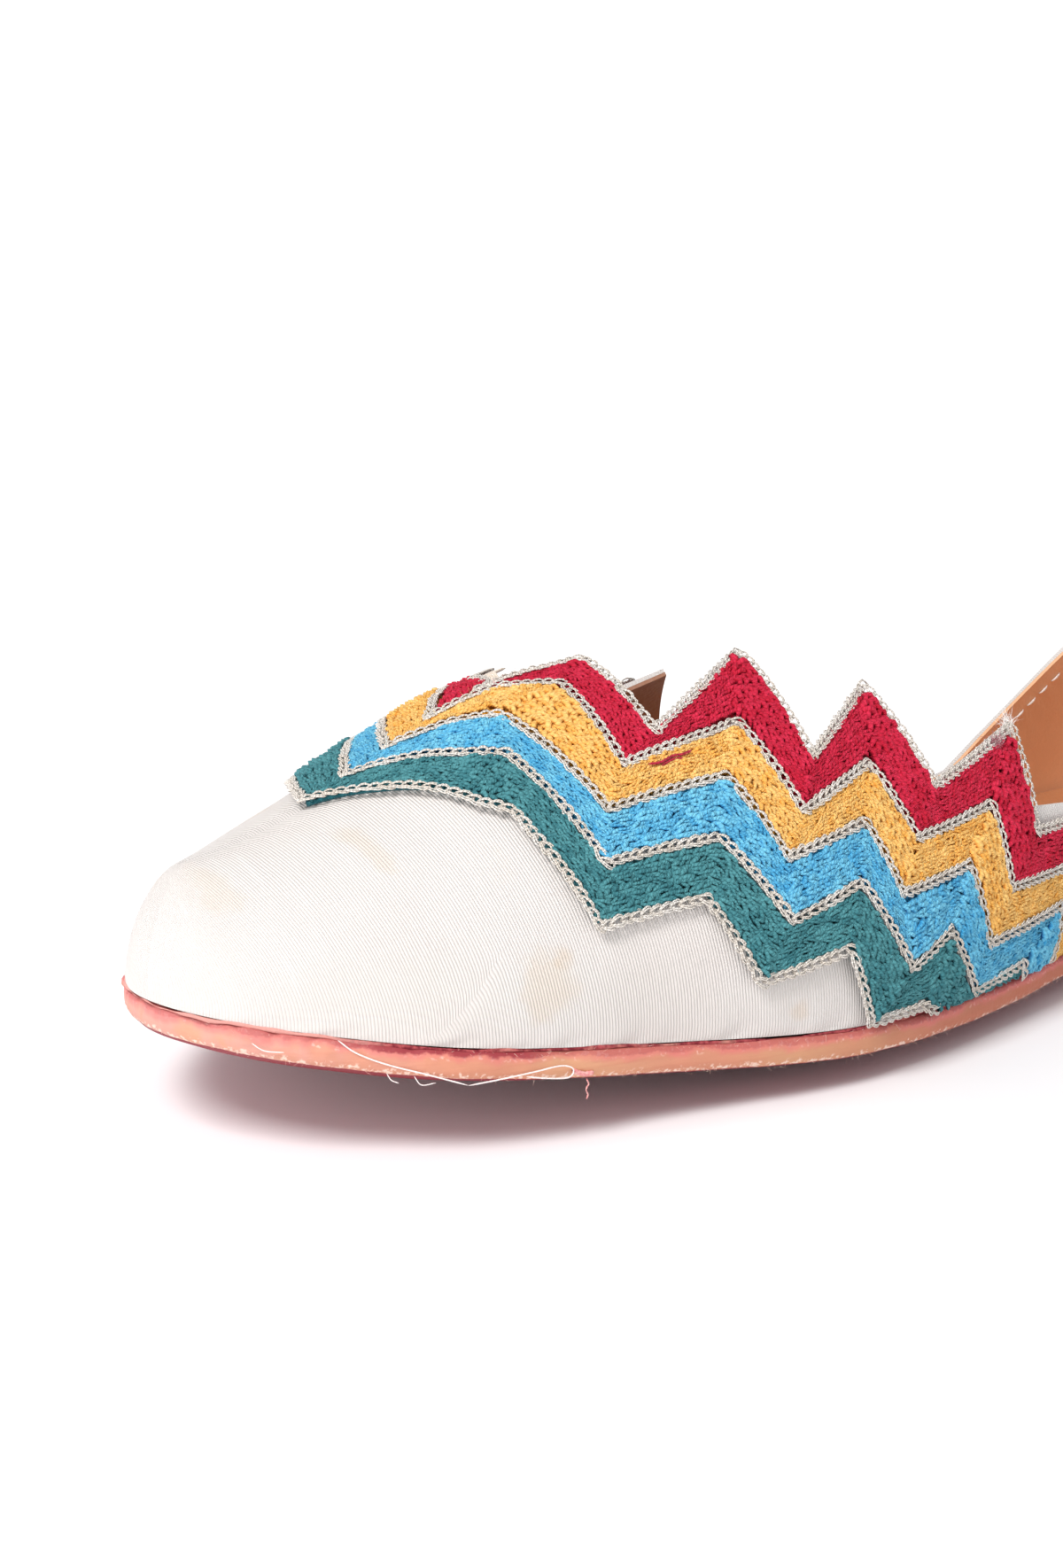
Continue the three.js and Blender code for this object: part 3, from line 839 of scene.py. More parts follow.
def thread_finish(name, pale, dull):
    """Pale metallic thread, worn in patches, with painted shade in the grooves of its twist and
    painted brown shade on the underside of each filament.
    """
    look = Finish(name, Roughness=0.35, Metallic=0.05, Specular_IOR_Level=0.8)
    along, ring = look.pair()
    twist = ((along * 14.0 + ring * 2.0) * (2 * math.pi)).wave()
    patch = look.noise(500.0, 3.0)
    ridge = (ring * (2 * math.pi)).math("SINE")
    base = look.mix(look.tone() * 0.4 + patch * 0.2, pale, dull)
    # Painted shade in the grooves of the twist
    base = look.mix((1 - twist) * 0.25, base, dull)
    # Painted shade: the underside of each filament turns brown
    base = look.mix((1 - ridge.between(-0.9, -0.1)) * 0.6, base, srgb(150, 118, 92))
    return look.finish(Base_Color=base, Roughness=patch * 0.3 + 0.25,
                       Normal=look.bump(twist, 0.00012))


def plain_thread(name, first, second):
    look = Finish(name, Roughness=0.65, Sheen_Weight=0.15, Specular_IOR_Level=0.25)
    fine = look.noise(2800.0, 3.0)
    base = look.mix(fine.between(0.35, 0.65), first, second)
    return look.finish(Base_Color=base, Normal=look.bump(fine, 0.0001))


def floor_finish():
    """White paper that glows with painted light away from the shoe, and not near it."""
    look = Finish("white_paper", Roughness=0.9, Specular_IOR_Level=0.1,
                  Emission_Strength=1.0)
    soft = look.noise(3.0, 2.0)
    base = look.mix(soft, (0.93, 0.925, 0.94), (0.955, 0.95, 0.96))
    x, y, _ = look.split(look.place())
    # Painted light: the floor's glow grows with the distance from the shoe
    reach = (x.squared() + y.squared()).math("SQRT").between(0.05, 0.32)
    return look.finish(Base_Color=base, Emission_Color=look.mix(reach, (0, 0, 0), (0.7, 0.7, 0.7)))


def wall_finish():
    look = Finish("white_wall", Roughness=0.9, Emission_Strength=1.0)
    soft = look.noise(2.0, 2.0)
    base = look.mix(soft, (0.93, 0.93, 0.94), (0.95, 0.95, 0.96))
    glow = look.mix(soft, (1.02, 1.02, 1.03), (1.05, 1.05, 1.05))
    return look.finish(Base_Color=base, Emission_Color=glow)


# Settings that the panel shows


def length(name, description, default):
    """A length that the panel shows to a hundredth of a millimetre."""
    return FloatProperty(name=name, description=description, default=default, unit="LENGTH",
                         precision=5)


def tint(name, description, colour):
    return FloatVectorProperty(name=name, description=description, default=colour, size=3,
                               subtype="COLOR", min=0.0, max=1.0)


class MojariUpper(bpy.types.PropertyGroup):
    silk_layer: length("Silk layer", "Thickness of the silk and its backing over the lining",
                       0.0007)
    thread_pitch: length("Thread pitch", "Distance between two ribs of the silk", 0.00041)
    pucker: length("Pucker", "Height of the small gathers along the sole line", 0.00035)
    steps: IntProperty(
        name="Steps", description="Mesh columns from the sole to the crown", default=36)


class MojariYarn(bpy.types.PropertyGroup):
    columns: IntProperty(
        name="Columns", description="Rows of stitches side by side in a band", default=5)
    stitch: length("Stitch", "Length of one yarn stitch", 0.0017)
    bed: length("Bed", "Height of the padding under the stitches", 0.0005)
    chain_link: length("Chain link", "Length of one metallic chain stitch", 0.00175)
    chain_width: length("Chain width", "Width of the metallic chain", 0.00165)
    fibres: IntProperty(
        name="Fibres", description="Loose fibres that stand out of each band", default=1400)


class MojariColours(bpy.types.PropertyGroup):
    silk_dark: tint("Silk dark", "Greyer patches of the silk", srgb(216, 211, 207))
    silk_light: tint("Silk light", "Whiter patches of the silk", srgb(224, 221, 218))
    lining_light: tint("Lining light", "Lighter patches of the lining", srgb(244, 194, 152))
    lining_dark: tint("Lining dark", "Darker patches of the lining", srgb(230, 176, 134))
    # Lining shade is painted shade: the colour of the lining where the vamp shades it
    lining_painted_shade: tint("Lining shade", "The lining under the vamp", srgb(128, 72, 42))
    insole_light: tint("Insole light", "Lighter patches of the insole", srgb(204, 144, 102))
    insole_dark: tint("Insole dark", "Darker patches of the insole", srgb(176, 116, 78))
    sole_light: tint("Sole light", "Lighter patches of the sole's edge", srgb(214, 162, 124))
    sole_dark: tint("Sole dark", "Darker patches of the sole's edge", srgb(208, 142, 114))
    metal_pale: tint("Metal pale", "The metallic thread where it shines", srgb(255, 252, 247))
    # Metal dull is both the worn thread and the painted shade in the grooves of its twist
    metal_worn_and_shade: tint("Metal dull", "The metallic thread where it is worn", srgb(224, 208, 186))
    # Each yarn has its own shade; its light colour is both lighter yarn and the painted highlight on
    # strand tops, and its third colour is painted shade in the hollows
    teal_band: tint("Teal", "Teal yarn", srgb(36, 102, 112))
    teal_band_light: tint("Teal light", "Lit strands of the teal yarn", srgb(92, 160, 166))
    teal_band_deep: tint("Teal deep", "Hollows of the teal yarn", srgb(10, 50, 60))
    blue_band: tint("Blue", "Blue yarn", srgb(32, 150, 206))
    blue_band_light: tint("Blue light", "Lit strands of the blue yarn", srgb(130, 212, 238))
    blue_band_deep: tint("Blue deep", "Hollows of the blue yarn", srgb(6, 78, 144))
    yellow_band: tint("Yellow", "Yellow yarn", srgb(240, 164, 52))
    yellow_band_light: tint("Yellow light", "Lit strands of the yellow yarn", srgb(255, 214, 134))
    yellow_band_deep: tint("Yellow deep", "Hollows of the yellow yarn", srgb(190, 104, 16))
    crimson_band: tint("Crimson", "Crimson yarn", srgb(184, 4, 38))
    crimson_band_light: tint("Crimson light", "Lit strands of the crimson yarn",
                             srgb(222, 46, 80))
    crimson_band_deep: tint("Crimson deep", "Hollows of the crimson yarn", srgb(104, 0, 22))


class MojariStage(bpy.types.PropertyGroup):
    eye: FloatVectorProperty(
        name="Eye", description="Where the camera stands", size=3, subtype="TRANSLATION",
        unit="LENGTH", default=(0.272554, 0.241484, 0.107739))
    aim: FloatVectorProperty(
        name="Aim", description="Direction in which the camera looks", size=3,
        subtype="DIRECTION", default=(-0.634684, -0.739975, -0.222740))
    lens: FloatProperty(
        name="Lens", description="Focal length in millimetres", default=56.95)
    key: FloatProperty(
        name="Key", description="Power of the large soft light", default=5.6, unit="POWER")
    sky: FloatProperty(name="Sky", description="Strength of the even white light", default=0.53)


def upper_stations(side, density):
    """Stations of an upper's side: every corner of its edge, with even steps between."""
    turns = turn_of(np.array([station for station, _ in TOPLINE[side]]))
    fewest = 4
    out = [turns[:1]]
    for low, high in zip(turns[:-1], turns[1:]):
        steps = max(int(round((high - low) * density)), fewest)
        out.append(low + (high - low) * np.arange(1, steps + 1) / steps)
    return along_of(np.concatenate(out))


def upper_grids(columns, density):
    """Grids of the closed vamp and of the two sides, up to the cut edge."""
    vamp_rows = 40
    share = np.linspace(0, 1, columns + 1)
    front = along_of(turn_of(THROAT) * np.linspace(0, 1, vamp_rows + 1))
    row = np.concatenate([share, 2 - share[-2::-1]])
    grids = [np.stack(np.broadcast_arrays(front[:, None], row[None, :]), -1)]
    for side in ("lateral", "medial"):
        stations = upper_stations(side, density)
        rises = topline_rise(side, stations)[:, None] * share[None, :]
        around = rises if side == "lateral" else (2 - rises)[:, ::-1]
        grids.append(np.stack(np.broadcast_arrays(stations[:, None], around), -1))
    return grids


# Ripples of the cloth along the sole line: length of a wave, phase, share of the depth
RIPPLES = ((0.0074, 0.4, 1.0), (0.0121, 2.1, 0.9), (0.0047, 4.0, 0.5))
RIPPLE_REACH = 0.13
SWELL_LENGTH = 0.038


def gathers(places, depth):
    """Soft ridges and troughs of the cloth near the sole, and slow waves over the toe."""
    rise = rise_of(places[:, 1])
    along = cloth_place(places[:, 0], places[:, 1])[:, 0]
    sign = np.where(places[:, 1] <= 1, 1.0, -1.0)
    ripple = np.zeros(len(places))
    for wave, phase, size in RIPPLES:
        ripple += size * np.sin(2 * np.pi * along * sign / wave + phase)
    low = np.clip(1 - rise / RIPPLE_REACH, 0, 1)
    swell = np.sin(along * 2 * np.pi / SWELL_LENGTH + 3 * rise) * np.sin(rise * np.pi)
    fade = np.clip(rise / 0.02, 0, 1) * np.clip(places[:, 0] / 0.03, 0, 1)
    return depth * (0.5 * ripple * low ** 2 * fade + 0.5 * swell)


class MOJARI_OT_upper(bpy.types.Operator):
    """Build the silk cover and the leather lining of the upper"""

    bl_idname = "mojari.upper"
    bl_label = "Upper"

    silk_density = 330
    lining_columns = 24
    lining_density = 260
    layer_gap = 0.00002

    def execute(self, context):
        settings = context.scene.mojari_upper
        colours = context.scene.mojari_colours
        grids = upper_grids(settings.steps, self.silk_density)
        points, faces, places = join_patches(
            grids, -settings.silk_layer, 0.0, lambda p: gathers(p, settings.pucker))
        points = self.round_nose(points, faces, places)
        cloth = cloth_place(places[:, 0], places[:, 1])
        cloth[:, 1] = np.abs(cloth[:, 1])
        look = silk_finish(settings.thread_pitch, colours.silk_dark, colours.silk_light)
        silk = add_piece("silk_cover", points, faces, look, uv=cloth)
        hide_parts("upper")
        grids = upper_grids(self.lining_columns, self.lining_density)
        points, faces, _ = join_patches(
            grids, -WALL, -settings.silk_layer - self.layer_gap)
        tan = leather_finish("lining_leather", colours.lining_light, colours.lining_dark,
                             colours.lining_painted_shade)
        lining = add_piece("lining", points, faces, tan)
        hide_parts("upper")
        mark_sharp_edges(silk)
        mark_sharp_edges(lining)
        return {"FINISHED"}

    def round_nose(self, points, faces, places):
        """Softens the cover over the nose and along the crown, where the last's ribs meet."""
        count = len(points) // 2
        outer = faces[(faces < count).all(axis=1)]
        station, rise = places[:count, 0], rise_of(places[:count, 1])
        nose_start, nose_reach = 0.094, 0.014
        nose = np.clip((points[:count, 0] - nose_start) / nose_reach, 0, 1)
        crown = np.exp(-((places[:count, 1] - 1) / 0.16) ** 2) * (station < THROAT * 0.93)
        above_sole = np.clip((rise - 0.03) / 0.08, 0, 1)
        strength, rounds = 0.6, 26
        softened = points.copy()
        softened[:count] = soften(
            points[:count], outer, strength * np.maximum(nose * above_sole, crown), rounds)
        return softened


def mark_sharp_edges(obj):
    """Cut edges stay crisp while the cloth between them is smooth."""
    obj.data.set_sharp_from_angle(angle=math.radians(50))


def outline(lateral, turn, inset):
    """Points of the sole's outline moved inwards, as x and y."""
    def at(u):
        folded = np.where(u < 0, -u, np.where(u > 1, 2 - u, u))
        same = (u >= 0) & (u <= 1)
        sign = np.where(lateral, 1.0, -1.0) * np.where(same, 1.0, -1.0)
        width = sign * half_width(sign > 0, folded)
        return np.stack([SOLE_LENGTH * along_of(folded), width], -1)

    run = unit(at(turn + 0.002) - at(turn - 0.002))
    inward = np.stack([run[:, 1], -run[:, 0]], -1) * np.where(lateral, 1.0, -1.0)[:, None]
    return at(turn) + inward * np.asarray(inset)[..., None]


def sole_ring(count):
    lateral = np.arange(2 * count) <= count
    turn = np.where(lateral, np.arange(2 * count), 2 * count - np.arange(2 * count)) / count
    return lateral, turn


def ring_points(lateral, turn, inset, height):
    flat = outline(lateral, turn, inset)
    z = spring_height(flat[:, 0]) + height
    return np.stack([SOLE_LENGTH / 2 - flat[:, 0], flat[:, 1] + SIDE_SHIFT, z], -1)


def uneven(position, seed, sizes):
    """A gentle closed wobble along the sole's edge."""
    rng = np.random.default_rng(seed)
    total = np.zeros_like(position)
    for waves, size in sizes:
        total += size * np.sin(2 * np.pi * (position * waves + rng.uniform()))
    return total


class MOJARI_OT_sole(bpy.types.Operator):
    """Build the leather outsole, the paste line round its top and the insole's leather"""

    bl_idname = "mojari.sole"
    bl_label = "Sole"

    half_ring = 420

    def execute(self, context):
        colours = context.scene.mojari_colours
        count = self.half_ring
        lateral, turn = sole_ring(count)
        ring = 2 * count
        position = np.arange(ring) / ring
        wobble = uneven(position, 4, ((23, 0.00006), (57, 0.00005), (131, 0.00003)))
        tucked = 0.0008 * np.exp(-(along_of(turn) / 0.02) ** 2)
        torn = 1 + 2.5 * np.exp(-((along_of(turn) - 0.03) / 0.02) ** 2)
        lip = torn * uneven(position, 9, ((31, 0.00010), (83, 0.00008), (167, 0.00005)))
        # Inset from the outline, height, and the colour's mark: 0 low on the edge, 1 at its top
        profile = [
            (CUP_REACH, 0.0, -0.9), (0.0050, 0.0014, -0.5), (0.0012, 0.0026, -0.2),
            (0.0001, 0.0029, -0.05), (-0.0003, 0.0032, 0.03), (-0.0006, 0.0037, 0.15),
            (-0.00068, 0.0044, 0.38), (-0.00066, 0.0051, 0.6), (-0.0006, 0.0058, 0.8),
            (-0.0003, 0.0063, 0.93), (0.0002, 0.0065, 1.05), (0.0035, 0.0054, 1.6),
            (CUP_REACH, SOLE_THICKNESS, 1.8),
        ]
        points, uv = [], []
        for inset, height, mark in profile:
            outer = 1.0 if inset < 0.0005 else 0.0
            edge = outer * (wobble + lip * (height > 0.005) - tucked)
            points.append(ring_points(lateral, turn, inset - edge, height))
            uv.append(np.stack([position * 0.6, np.full(ring, mark)], -1))
        index = np.arange(ring)
        faces = []
        for r in range(1, len(profile)):
            a, b = (r - 1) * ring + index, (r - 1) * ring + np.roll(index, -1)
            faces.append(np.stack([a, b, b + ring, a + ring], -1))
        top = (len(profile) - 1) * ring
        k = np.arange(count)
        across, across_next = (ring - k) % ring, (ring - k - 1) % ring
        cap = np.stack([across, across_next, k + 1, k], -1)
        faces += [cap, cap[:, ::-1] + top]
        points, uv = np.concatenate(points), np.concatenate(uv)
        sole = add_piece("leather_sole", points, np.concatenate(faces),
                         sole_finish(colours.sole_dark, colours.sole_light),
                         uv=uv)
        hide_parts("outsole")
        mark_sharp_edges(sole)
        self.paste_line(lateral, turn, position)
        tan = leather_finish("insole_leather", colours.insole_light, colours.insole_dark)
        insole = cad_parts["insole"]
        insole.data.materials.clear()
        insole.data.materials.append(tan)
        return {"FINISHED"}

    def paste_line(self, lateral, turn, position):
        """An uneven bead of paste where the cover meets the sole, thickest behind the toe."""
        strength = np.interp(along_of(turn), [0, 0.015, 0.045, 0.06, 0.12, 0.15, 0.3, 1],
                             [0.3, 1.3, 1.2, 1.0, 1.15, 1.0, 0.85, 0.8])
        size = strength * 0.00021
        size = size + uneven(position, 2, ((37, 0.00005), (89, 0.00003), (17, 0.00004)))
        rise = uneven(position, 6, ((13, 0.00010), (43, 0.00006), (71, 0.00004)))
        height = SOLE_CUP + SOLE_THICKNESS + 0.00004 + rise
        path = ring_points(lateral, turn, np.full(len(turn), 0.00002), height)
        points, faces, uv = sweep(path, size, 7, True)
        add_piece("paste_line", points, faces[:, ::-1], bead_finish(), uv=uv)


class MOJARI_OT_bands(bpy.types.Operator):
    """Build the four bands of yarn, each a bed with rows of chain stitches and loose fibres"""

    bl_idname = "mojari.bands"
    bl_label = "Yarn bands"

    # Where the rows lie between a band's two lines, and how stitches differ from each other
    edge_share = 0.11
    rows_share = 0.78
    wobble = 0.36
    # Stitches overlap along a row, and are a little wider than it, within two limits
    overlap = 0.58
    fullness = 1.14
    narrowest = 0.0006
    widest = 0.0019
    narrowest_gap = 0.0018
    lift = 0.00025
    sink = 0.0001
    fewest_marks = 8

    def execute(self, context):
        settings = context.scene.mojari_yarn
        colours = context.scene.mojari_colours
        rng = np.random.default_rng(11)
        for name, (front, back, slot) in BANDS.items():
            # The third colour of each yarn is its painted shade
            shade, light, painted_shade = (getattr(colours, name + part) for part in ("", "_light", "_deep"))
            self.bed(name, front, back, slot, settings, shade, painted_shade)
            steps = []
            for side, last in LAST_CORNERS.items():
                corner = np.linspace(0, last, int(last * MARKS_PER_CORNER))
                ahead, behind = line_at(front, side, corner), line_at(back, side, corner)
                for column in range(settings.columns):
                    share = self.edge_share + self.rows_share * (column + 0.5) / settings.columns
                    steps += self.row(share, side, settings, ahead, behind)
            points, faces, uv, tone = stitch_mesh(pair_template(), steps, rng, self.wobble)
            piece = add_piece(name + "_stitches", points, faces,
                              yarn_finish(name + "_yarn", shade, light, painted_shade),
                              uv=uv, tone=tone)
            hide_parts(name)
            self.fluff(name, steps, slot, light, settings.fibres, rng)
        return {"FINISHED"}

    def fluff(self, name, steps, slot, light, count, rng):
        """Short fibres that stand out of the yarn."""
        origins = np.concatenate([step[0] for step in steps])
        normals = np.concatenate([step[3] for step in steps])
        pick = rng.integers(0, len(origins), count)
        start = origins[pick] + rng.normal(0, 0.0003, (count, 3)) + normals[pick] * 0.0002
        way = unit(normals[pick] + rng.normal(0, 1.0, (count, 3)))
        way += normals[pick] * 0.4
        points, faces = fibre_mesh(start, way, rng.uniform(0.0004, 0.0011, count), 0.00003, rng)
        look = plain_thread(name + "_fluff", light, tuple(min(c * 1.3, 1.0) for c in light))
        add_piece(name + "_fluff", points, faces, look)

    def row(self, share, side, settings, ahead, behind):
        """One row of stitches between two lines, as wide as the lines' gap there allows."""
        station, rise = between_lines(ahead, behind, share)
        inside = np.nonzero(rise > SOLE_MARGIN)[0]
        if len(inside) < self.fewest_marks:
            return []
        last = inside[-1] + 1
        station, rise = station[:last], rise[:last]
        origins, run, across, normal, _ = walk(
            station, rise, side, settings.stitch * self.overlap, settings.bed + self.lift)
        edges = [rib_points(line[0][:last], around_of(side, line[1][:last]))
                 for line in (ahead, behind)]
        gap = np.linalg.norm(edges[0] - edges[1], axis=1)
        path = rib_points(station, around_of(side, rise))
        lengths = np.linalg.norm(np.diff(path, axis=0), axis=1)
        lengths = np.concatenate([[0], np.cumsum(lengths)])
        marks = (np.arange(len(origins)) + 0.5) * lengths[-1] / len(origins)
        local = np.interp(marks, lengths, gap)
        keep = local > self.narrowest_gap
        if not keep.any():
            return []
        square = np.interp(marks, lengths, self.squareness(*edges))
        width = local * square * self.rows_share / settings.columns
        width = np.clip(width, self.narrowest, self.widest) * self.fullness
        return [(origins[keep], run[keep], across[keep], normal[keep], settings.stitch, width[keep])]

    def squareness(self, ahead, behind):
        """How square the gap between two lines stands to the row between them, from 0 to 1."""
        run = unit(np.gradient((ahead + behind) / 2, axis=0))
        return np.linalg.norm(np.cross(unit(behind - ahead), run), axis=1)

    def bed(self, name, front, back, slot, settings, shade, painted_shade):
        """The padding that the stitches of a band lie on."""
        patches = []
        for side, last in LAST_CORNERS.items():
            corner = np.linspace(0, last, int(last * 16) + 1)
            ahead, behind = line_at(front, side, corner), line_at(back, side, corner)
            share = np.linspace(0.10, 0.97, 9)[None, :]
            ahead, behind = ([column[:, None] for column in line] for line in (ahead, behind))
            station, rise = between_lines(ahead, behind, share)
            if side == "lateral":
                patches.append(np.stack([station, rise], -1))
            else:
                patches.append(np.stack([station, 2 - rise], -1)[:, ::-1])
        points, faces, _ = join_patches(patches, -self.sink, settings.bed)
        piece = add_piece(name + "_bed", points, faces, bed_finish(name + "_bed", shade, painted_shade))
        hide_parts(name)


class MOJARI_OT_chains(bpy.types.Operator):
    """Build the metallic chain along each stitched line"""

    bl_idname = "mojari.chains"
    bl_label = "Metallic chains"

    # The corner at which the teal line meets the sole, the chain's height over the upper, how
    # far each link goes on from the last and how links differ from each other
    teal_end = 8.0
    lift = 0.00095
    overlap = 0.80
    wobble = 0.14

    def execute(self, context):
        settings = context.scene.mojari_yarn
        colours = context.scene.mojari_colours
        rng = np.random.default_rng(23)
        steps = []
        for name in LINES:
            for side, last in LAST_CORNERS.items():
                if (name, side) == ("teal_front", "lateral"):
                    last = self.teal_end
                corner = np.linspace(0, last, int(last * MARKS_PER_CORNER))
                station, rise = line_at(name, side, corner)
                rise = np.maximum(rise, SOLE_MARGIN)
                walked = walk(station, rise, side, settings.chain_link * self.overlap, self.lift)
                steps.append((*walked[:4], settings.chain_link, settings.chain_width))
        points, faces, uv, tone = stitch_mesh(link_template(), steps, rng, self.wobble)
        metal = thread_finish("metal_thread", colours.metal_pale, colours.metal_worn_and_shade)
        add_piece("metal_chains", points, faces, metal, uv=uv, tone=tone)
        return {"FINISHED"}


class MOJARI_OT_threads(bpy.types.Operator):
    """Build the lining's running stitch, the frayed tips and the loose threads at the sole"""

    bl_idname = "mojari.threads"
    bl_label = "Threads"

    # Places off the sole's outer edge: share of its length, height, reach
    loose = [
        [(0.0515, 0.00660, 0.0008), (0.0577, 0.00533, 0.0008), (0.0687, 0.00432, 0.0008),
         (0.0845, 0.00347, 0.0008), (0.1008, 0.00245, 0.0008)],
        [(0.1008, 0.00250, 0.0011), (0.1146, 0.00331, 0.0011), (0.1319, 0.00424, 0.0011),
         (0.1448, 0.00487, 0.0011), (0.1513, 0.00445, 0.0011), (0.1490, 0.00340, 0.0011),
         (0.1374, 0.00338, 0.0011), (0.1275, 0.00366, 0.0011)],
        [(0.0687, 0.00332, 0.0012), (0.0704, 0.00255, 0.0012), (0.0731, 0.00228, 0.0012)],
        [(0.0789, 0.00328, 0.0012), (0.0817, 0.00229, 0.0012), (0.0873, 0.00266, 0.0012)],
        [(0.0231, 0.00488, 0.0010), (0.0269, 0.00419, 0.0010), (0.0332, 0.00434, 0.0010)],
    ]
    loose_radii = (0.00009, 0.00009, 0.00006, 0.00006, 0.00006)
    curl = [(0.1588, 0.0031, 0.0009), (0.1600, 0.0024, 0.0009), (0.1584, 0.0017, 0.0010),
            (0.1597, 0.0011, 0.0009), (0.1588, 0.0005, 0.0009)]
    dab = [(0.1518, 0.0041, 0.0007), (0.1551, 0.0038, 0.0007), (0.1589, 0.0036, 0.0007),
           (0.1632, 0.0038, 0.0007)]
    # Places on the upper: station, rise
    stray = [(0.1603, 0.5899), (0.1676, 0.5872), (0.1750, 0.5943), (0.1810, 0.5933),
             (0.1867, 0.5965)]
    worn = (0.4171, 0.4603)
    throat = {
        "lateral": [(0.0800, 0.999), (0.100, 0.984), (0.122, 0.969), (0.140, 0.957)],
        "medial": [(0.0805, 0.999), (0.095, 0.945), (0.116, 0.868), (0.140, 0.822)],
    }
    # Tips of the teeth: side, station, rise, fibres, length
    tips = (
        ("lateral", 0.142, 0.970, 40, 0.0013), ("lateral", 0.247, 0.840, 44, 0.0011),
        ("lateral", 0.325, 0.668, 30, 0.0009), ("lateral", 0.440, 0.488, 120, 0.0026),
        ("medial", 0.157, 0.800, 24, 0.0012), ("medial", 0.250, 0.640, 24, 0.0009),
        ("medial", 0.334, 0.600, 24, 0.0009),
    )

    # Each piece's slot, its material's name and the material's two colours
    looks = {
        "lining_stitches": ("upper_silk", "white_thread", srgb(232, 222, 212),
                            srgb(252, 247, 242)),
        "loose_threads": ("upper_silk", "loose_thread", srgb(240, 226, 222),
                          srgb(252, 246, 244)),
        "glue_dab": ("sole_leather", "glue_dab", srgb(226, 140, 140), srgb(240, 186, 180)),
        "frayed_tips": ("upper_silk", "frayed_silk", srgb(244, 238, 232), srgb(254, 252, 250)),
        "throat_tape": ("upper_silk", "pale_tape", srgb(224, 206, 186), srgb(246, 236, 222)),
        "stray_strand": ("crimson_yarn", "stray_strand", srgb(132, 10, 34), srgb(186, 32, 60)),
        "worn_patch": ("crimson_yarn", "worn_yarn", srgb(150, 70, 86), srgb(206, 160, 168)),
        "sole_lint": ("sole_leather", "sole_lint", srgb(226, 176, 156), srgb(248, 226, 212)),
    }

    def execute(self, context):
        rng = np.random.default_rng(5)
        self.running_stitch()
        self.loose_threads()
        self.frayed_tips(rng)
        self.throat_tape()
        self.stray_strand()
        self.worn_patch(rng)
        self.sole_lint(rng)
        return {"FINISHED"}

    def thread_piece(self, name, points, faces):
        slot, look, first, second = self.looks[name]
        add_piece(name, points, faces, plain_thread(look, first, second))

    def running_stitch(self):
        """White stitches round the lining, a little below its cut edge."""
        below, spacing, half, radius = 0.045, 0.0034, 0.00115, 0.00024
        paths, ups = [], []
        for side, first in (("medial", 0.60), ("lateral", 0.47)):
            station = np.linspace(first, 1.0 - 0.003, 500)
            rise = topline_rise(side, station) - below
            origins, run, _, normal, _ = walk(station, rise, side, spacing, -WALL - 0.0001)
            for place, ahead, out in zip(origins, run, normal):
                ahead = ahead * half
                paths.append(np.array([place - ahead, place - ahead * 0.6 - out * 0.00018,
                                       place - out * 0.00022, place + ahead * 0.6 - out * 0.00018,
                                       place + ahead]))
                ups.append(out)
        self.thread_piece("lining_stitches", *join_strands(paths, [radius] * len(paths), ups))

    def loose_threads(self):
        """Loose ends of white thread off the sole's edge, and a pink dab with a curled thread."""
        paths = [curve_through(self.edge_places(marks)) for marks in self.loose]
        ups = [(0, 0, 1)] * len(paths)
        self.thread_piece("loose_threads", *join_strands(paths, self.loose_radii, ups))
        paths = [curve_through(self.edge_places(marks)) for marks in (self.dab, self.curl)]
        points, faces = join_strands(paths, [0.00032, 0.00008], [(0, 0, 1), (1, 0.3, 0)])
        rng = np.random.default_rng(3)
        points = points + rng.normal(0, 0.00003, points.shape)
        self.thread_piece("glue_dab", points, faces)

    def edge_places(self, marks):
        """Places off the sole's outer edge."""
        along, height, reach = np.asarray(marks, float).T
        return ring_points(np.ones(len(along), bool), turn_of(along), -reach, height)

    def frayed_tips(self, rng):
        """Silk fibres that stand out of the tips of the teeth."""
        starts, ways, lengths = [], [], []
        for side, station, rise, count, longest in self.tips:
            place = rib_points(station, around_of(side, rise))
            up = unit(place - rib_points(station, around_of(side, rise - 0.02)))
            starts.append(place - up * 0.0006 + rng.normal(0, 0.00035, (count, 3)))
            ways.append(up + rng.normal(0, 0.42, (count, 3)))
            lengths.append(longest * rng.uniform(0.35, 1.0, count))
        self.thread_piece("frayed_tips", *fibre_mesh(
            np.concatenate(starts), np.concatenate(ways), np.concatenate(lengths), 0.00007, rng))

    def throat_tape(self):
        """The woven tape that is folded round the throat, thread beside thread."""
        spacing, lift, apart, radius = 0.0006, 0.0006, 0.00034, 0.0002
        paths = []
        for side, marks in self.throat.items():
            station, rise = np.array(marks).T
            steps = np.linspace(0, len(marks) - 1, 60)
            station = np.interp(steps, np.arange(len(marks)), station)
            rise = np.interp(steps, np.arange(len(marks)), rise)
            origins, _, across, normal, _ = walk(station, rise, side, spacing, lift)
            wave = 0.00012 * np.sin(np.arange(len(origins)) * np.pi)[:, None]
            for thread in range(-2, 3):
                sign = 1 if thread % 2 else -1
                paths.append(origins + across * apart * thread + normal * (0.0002 + sign * wave))
        ups = [(0, 0, 1)] * len(paths)
        self.thread_piece("throat_tape", *join_strands(paths, [radius] * len(paths), ups))

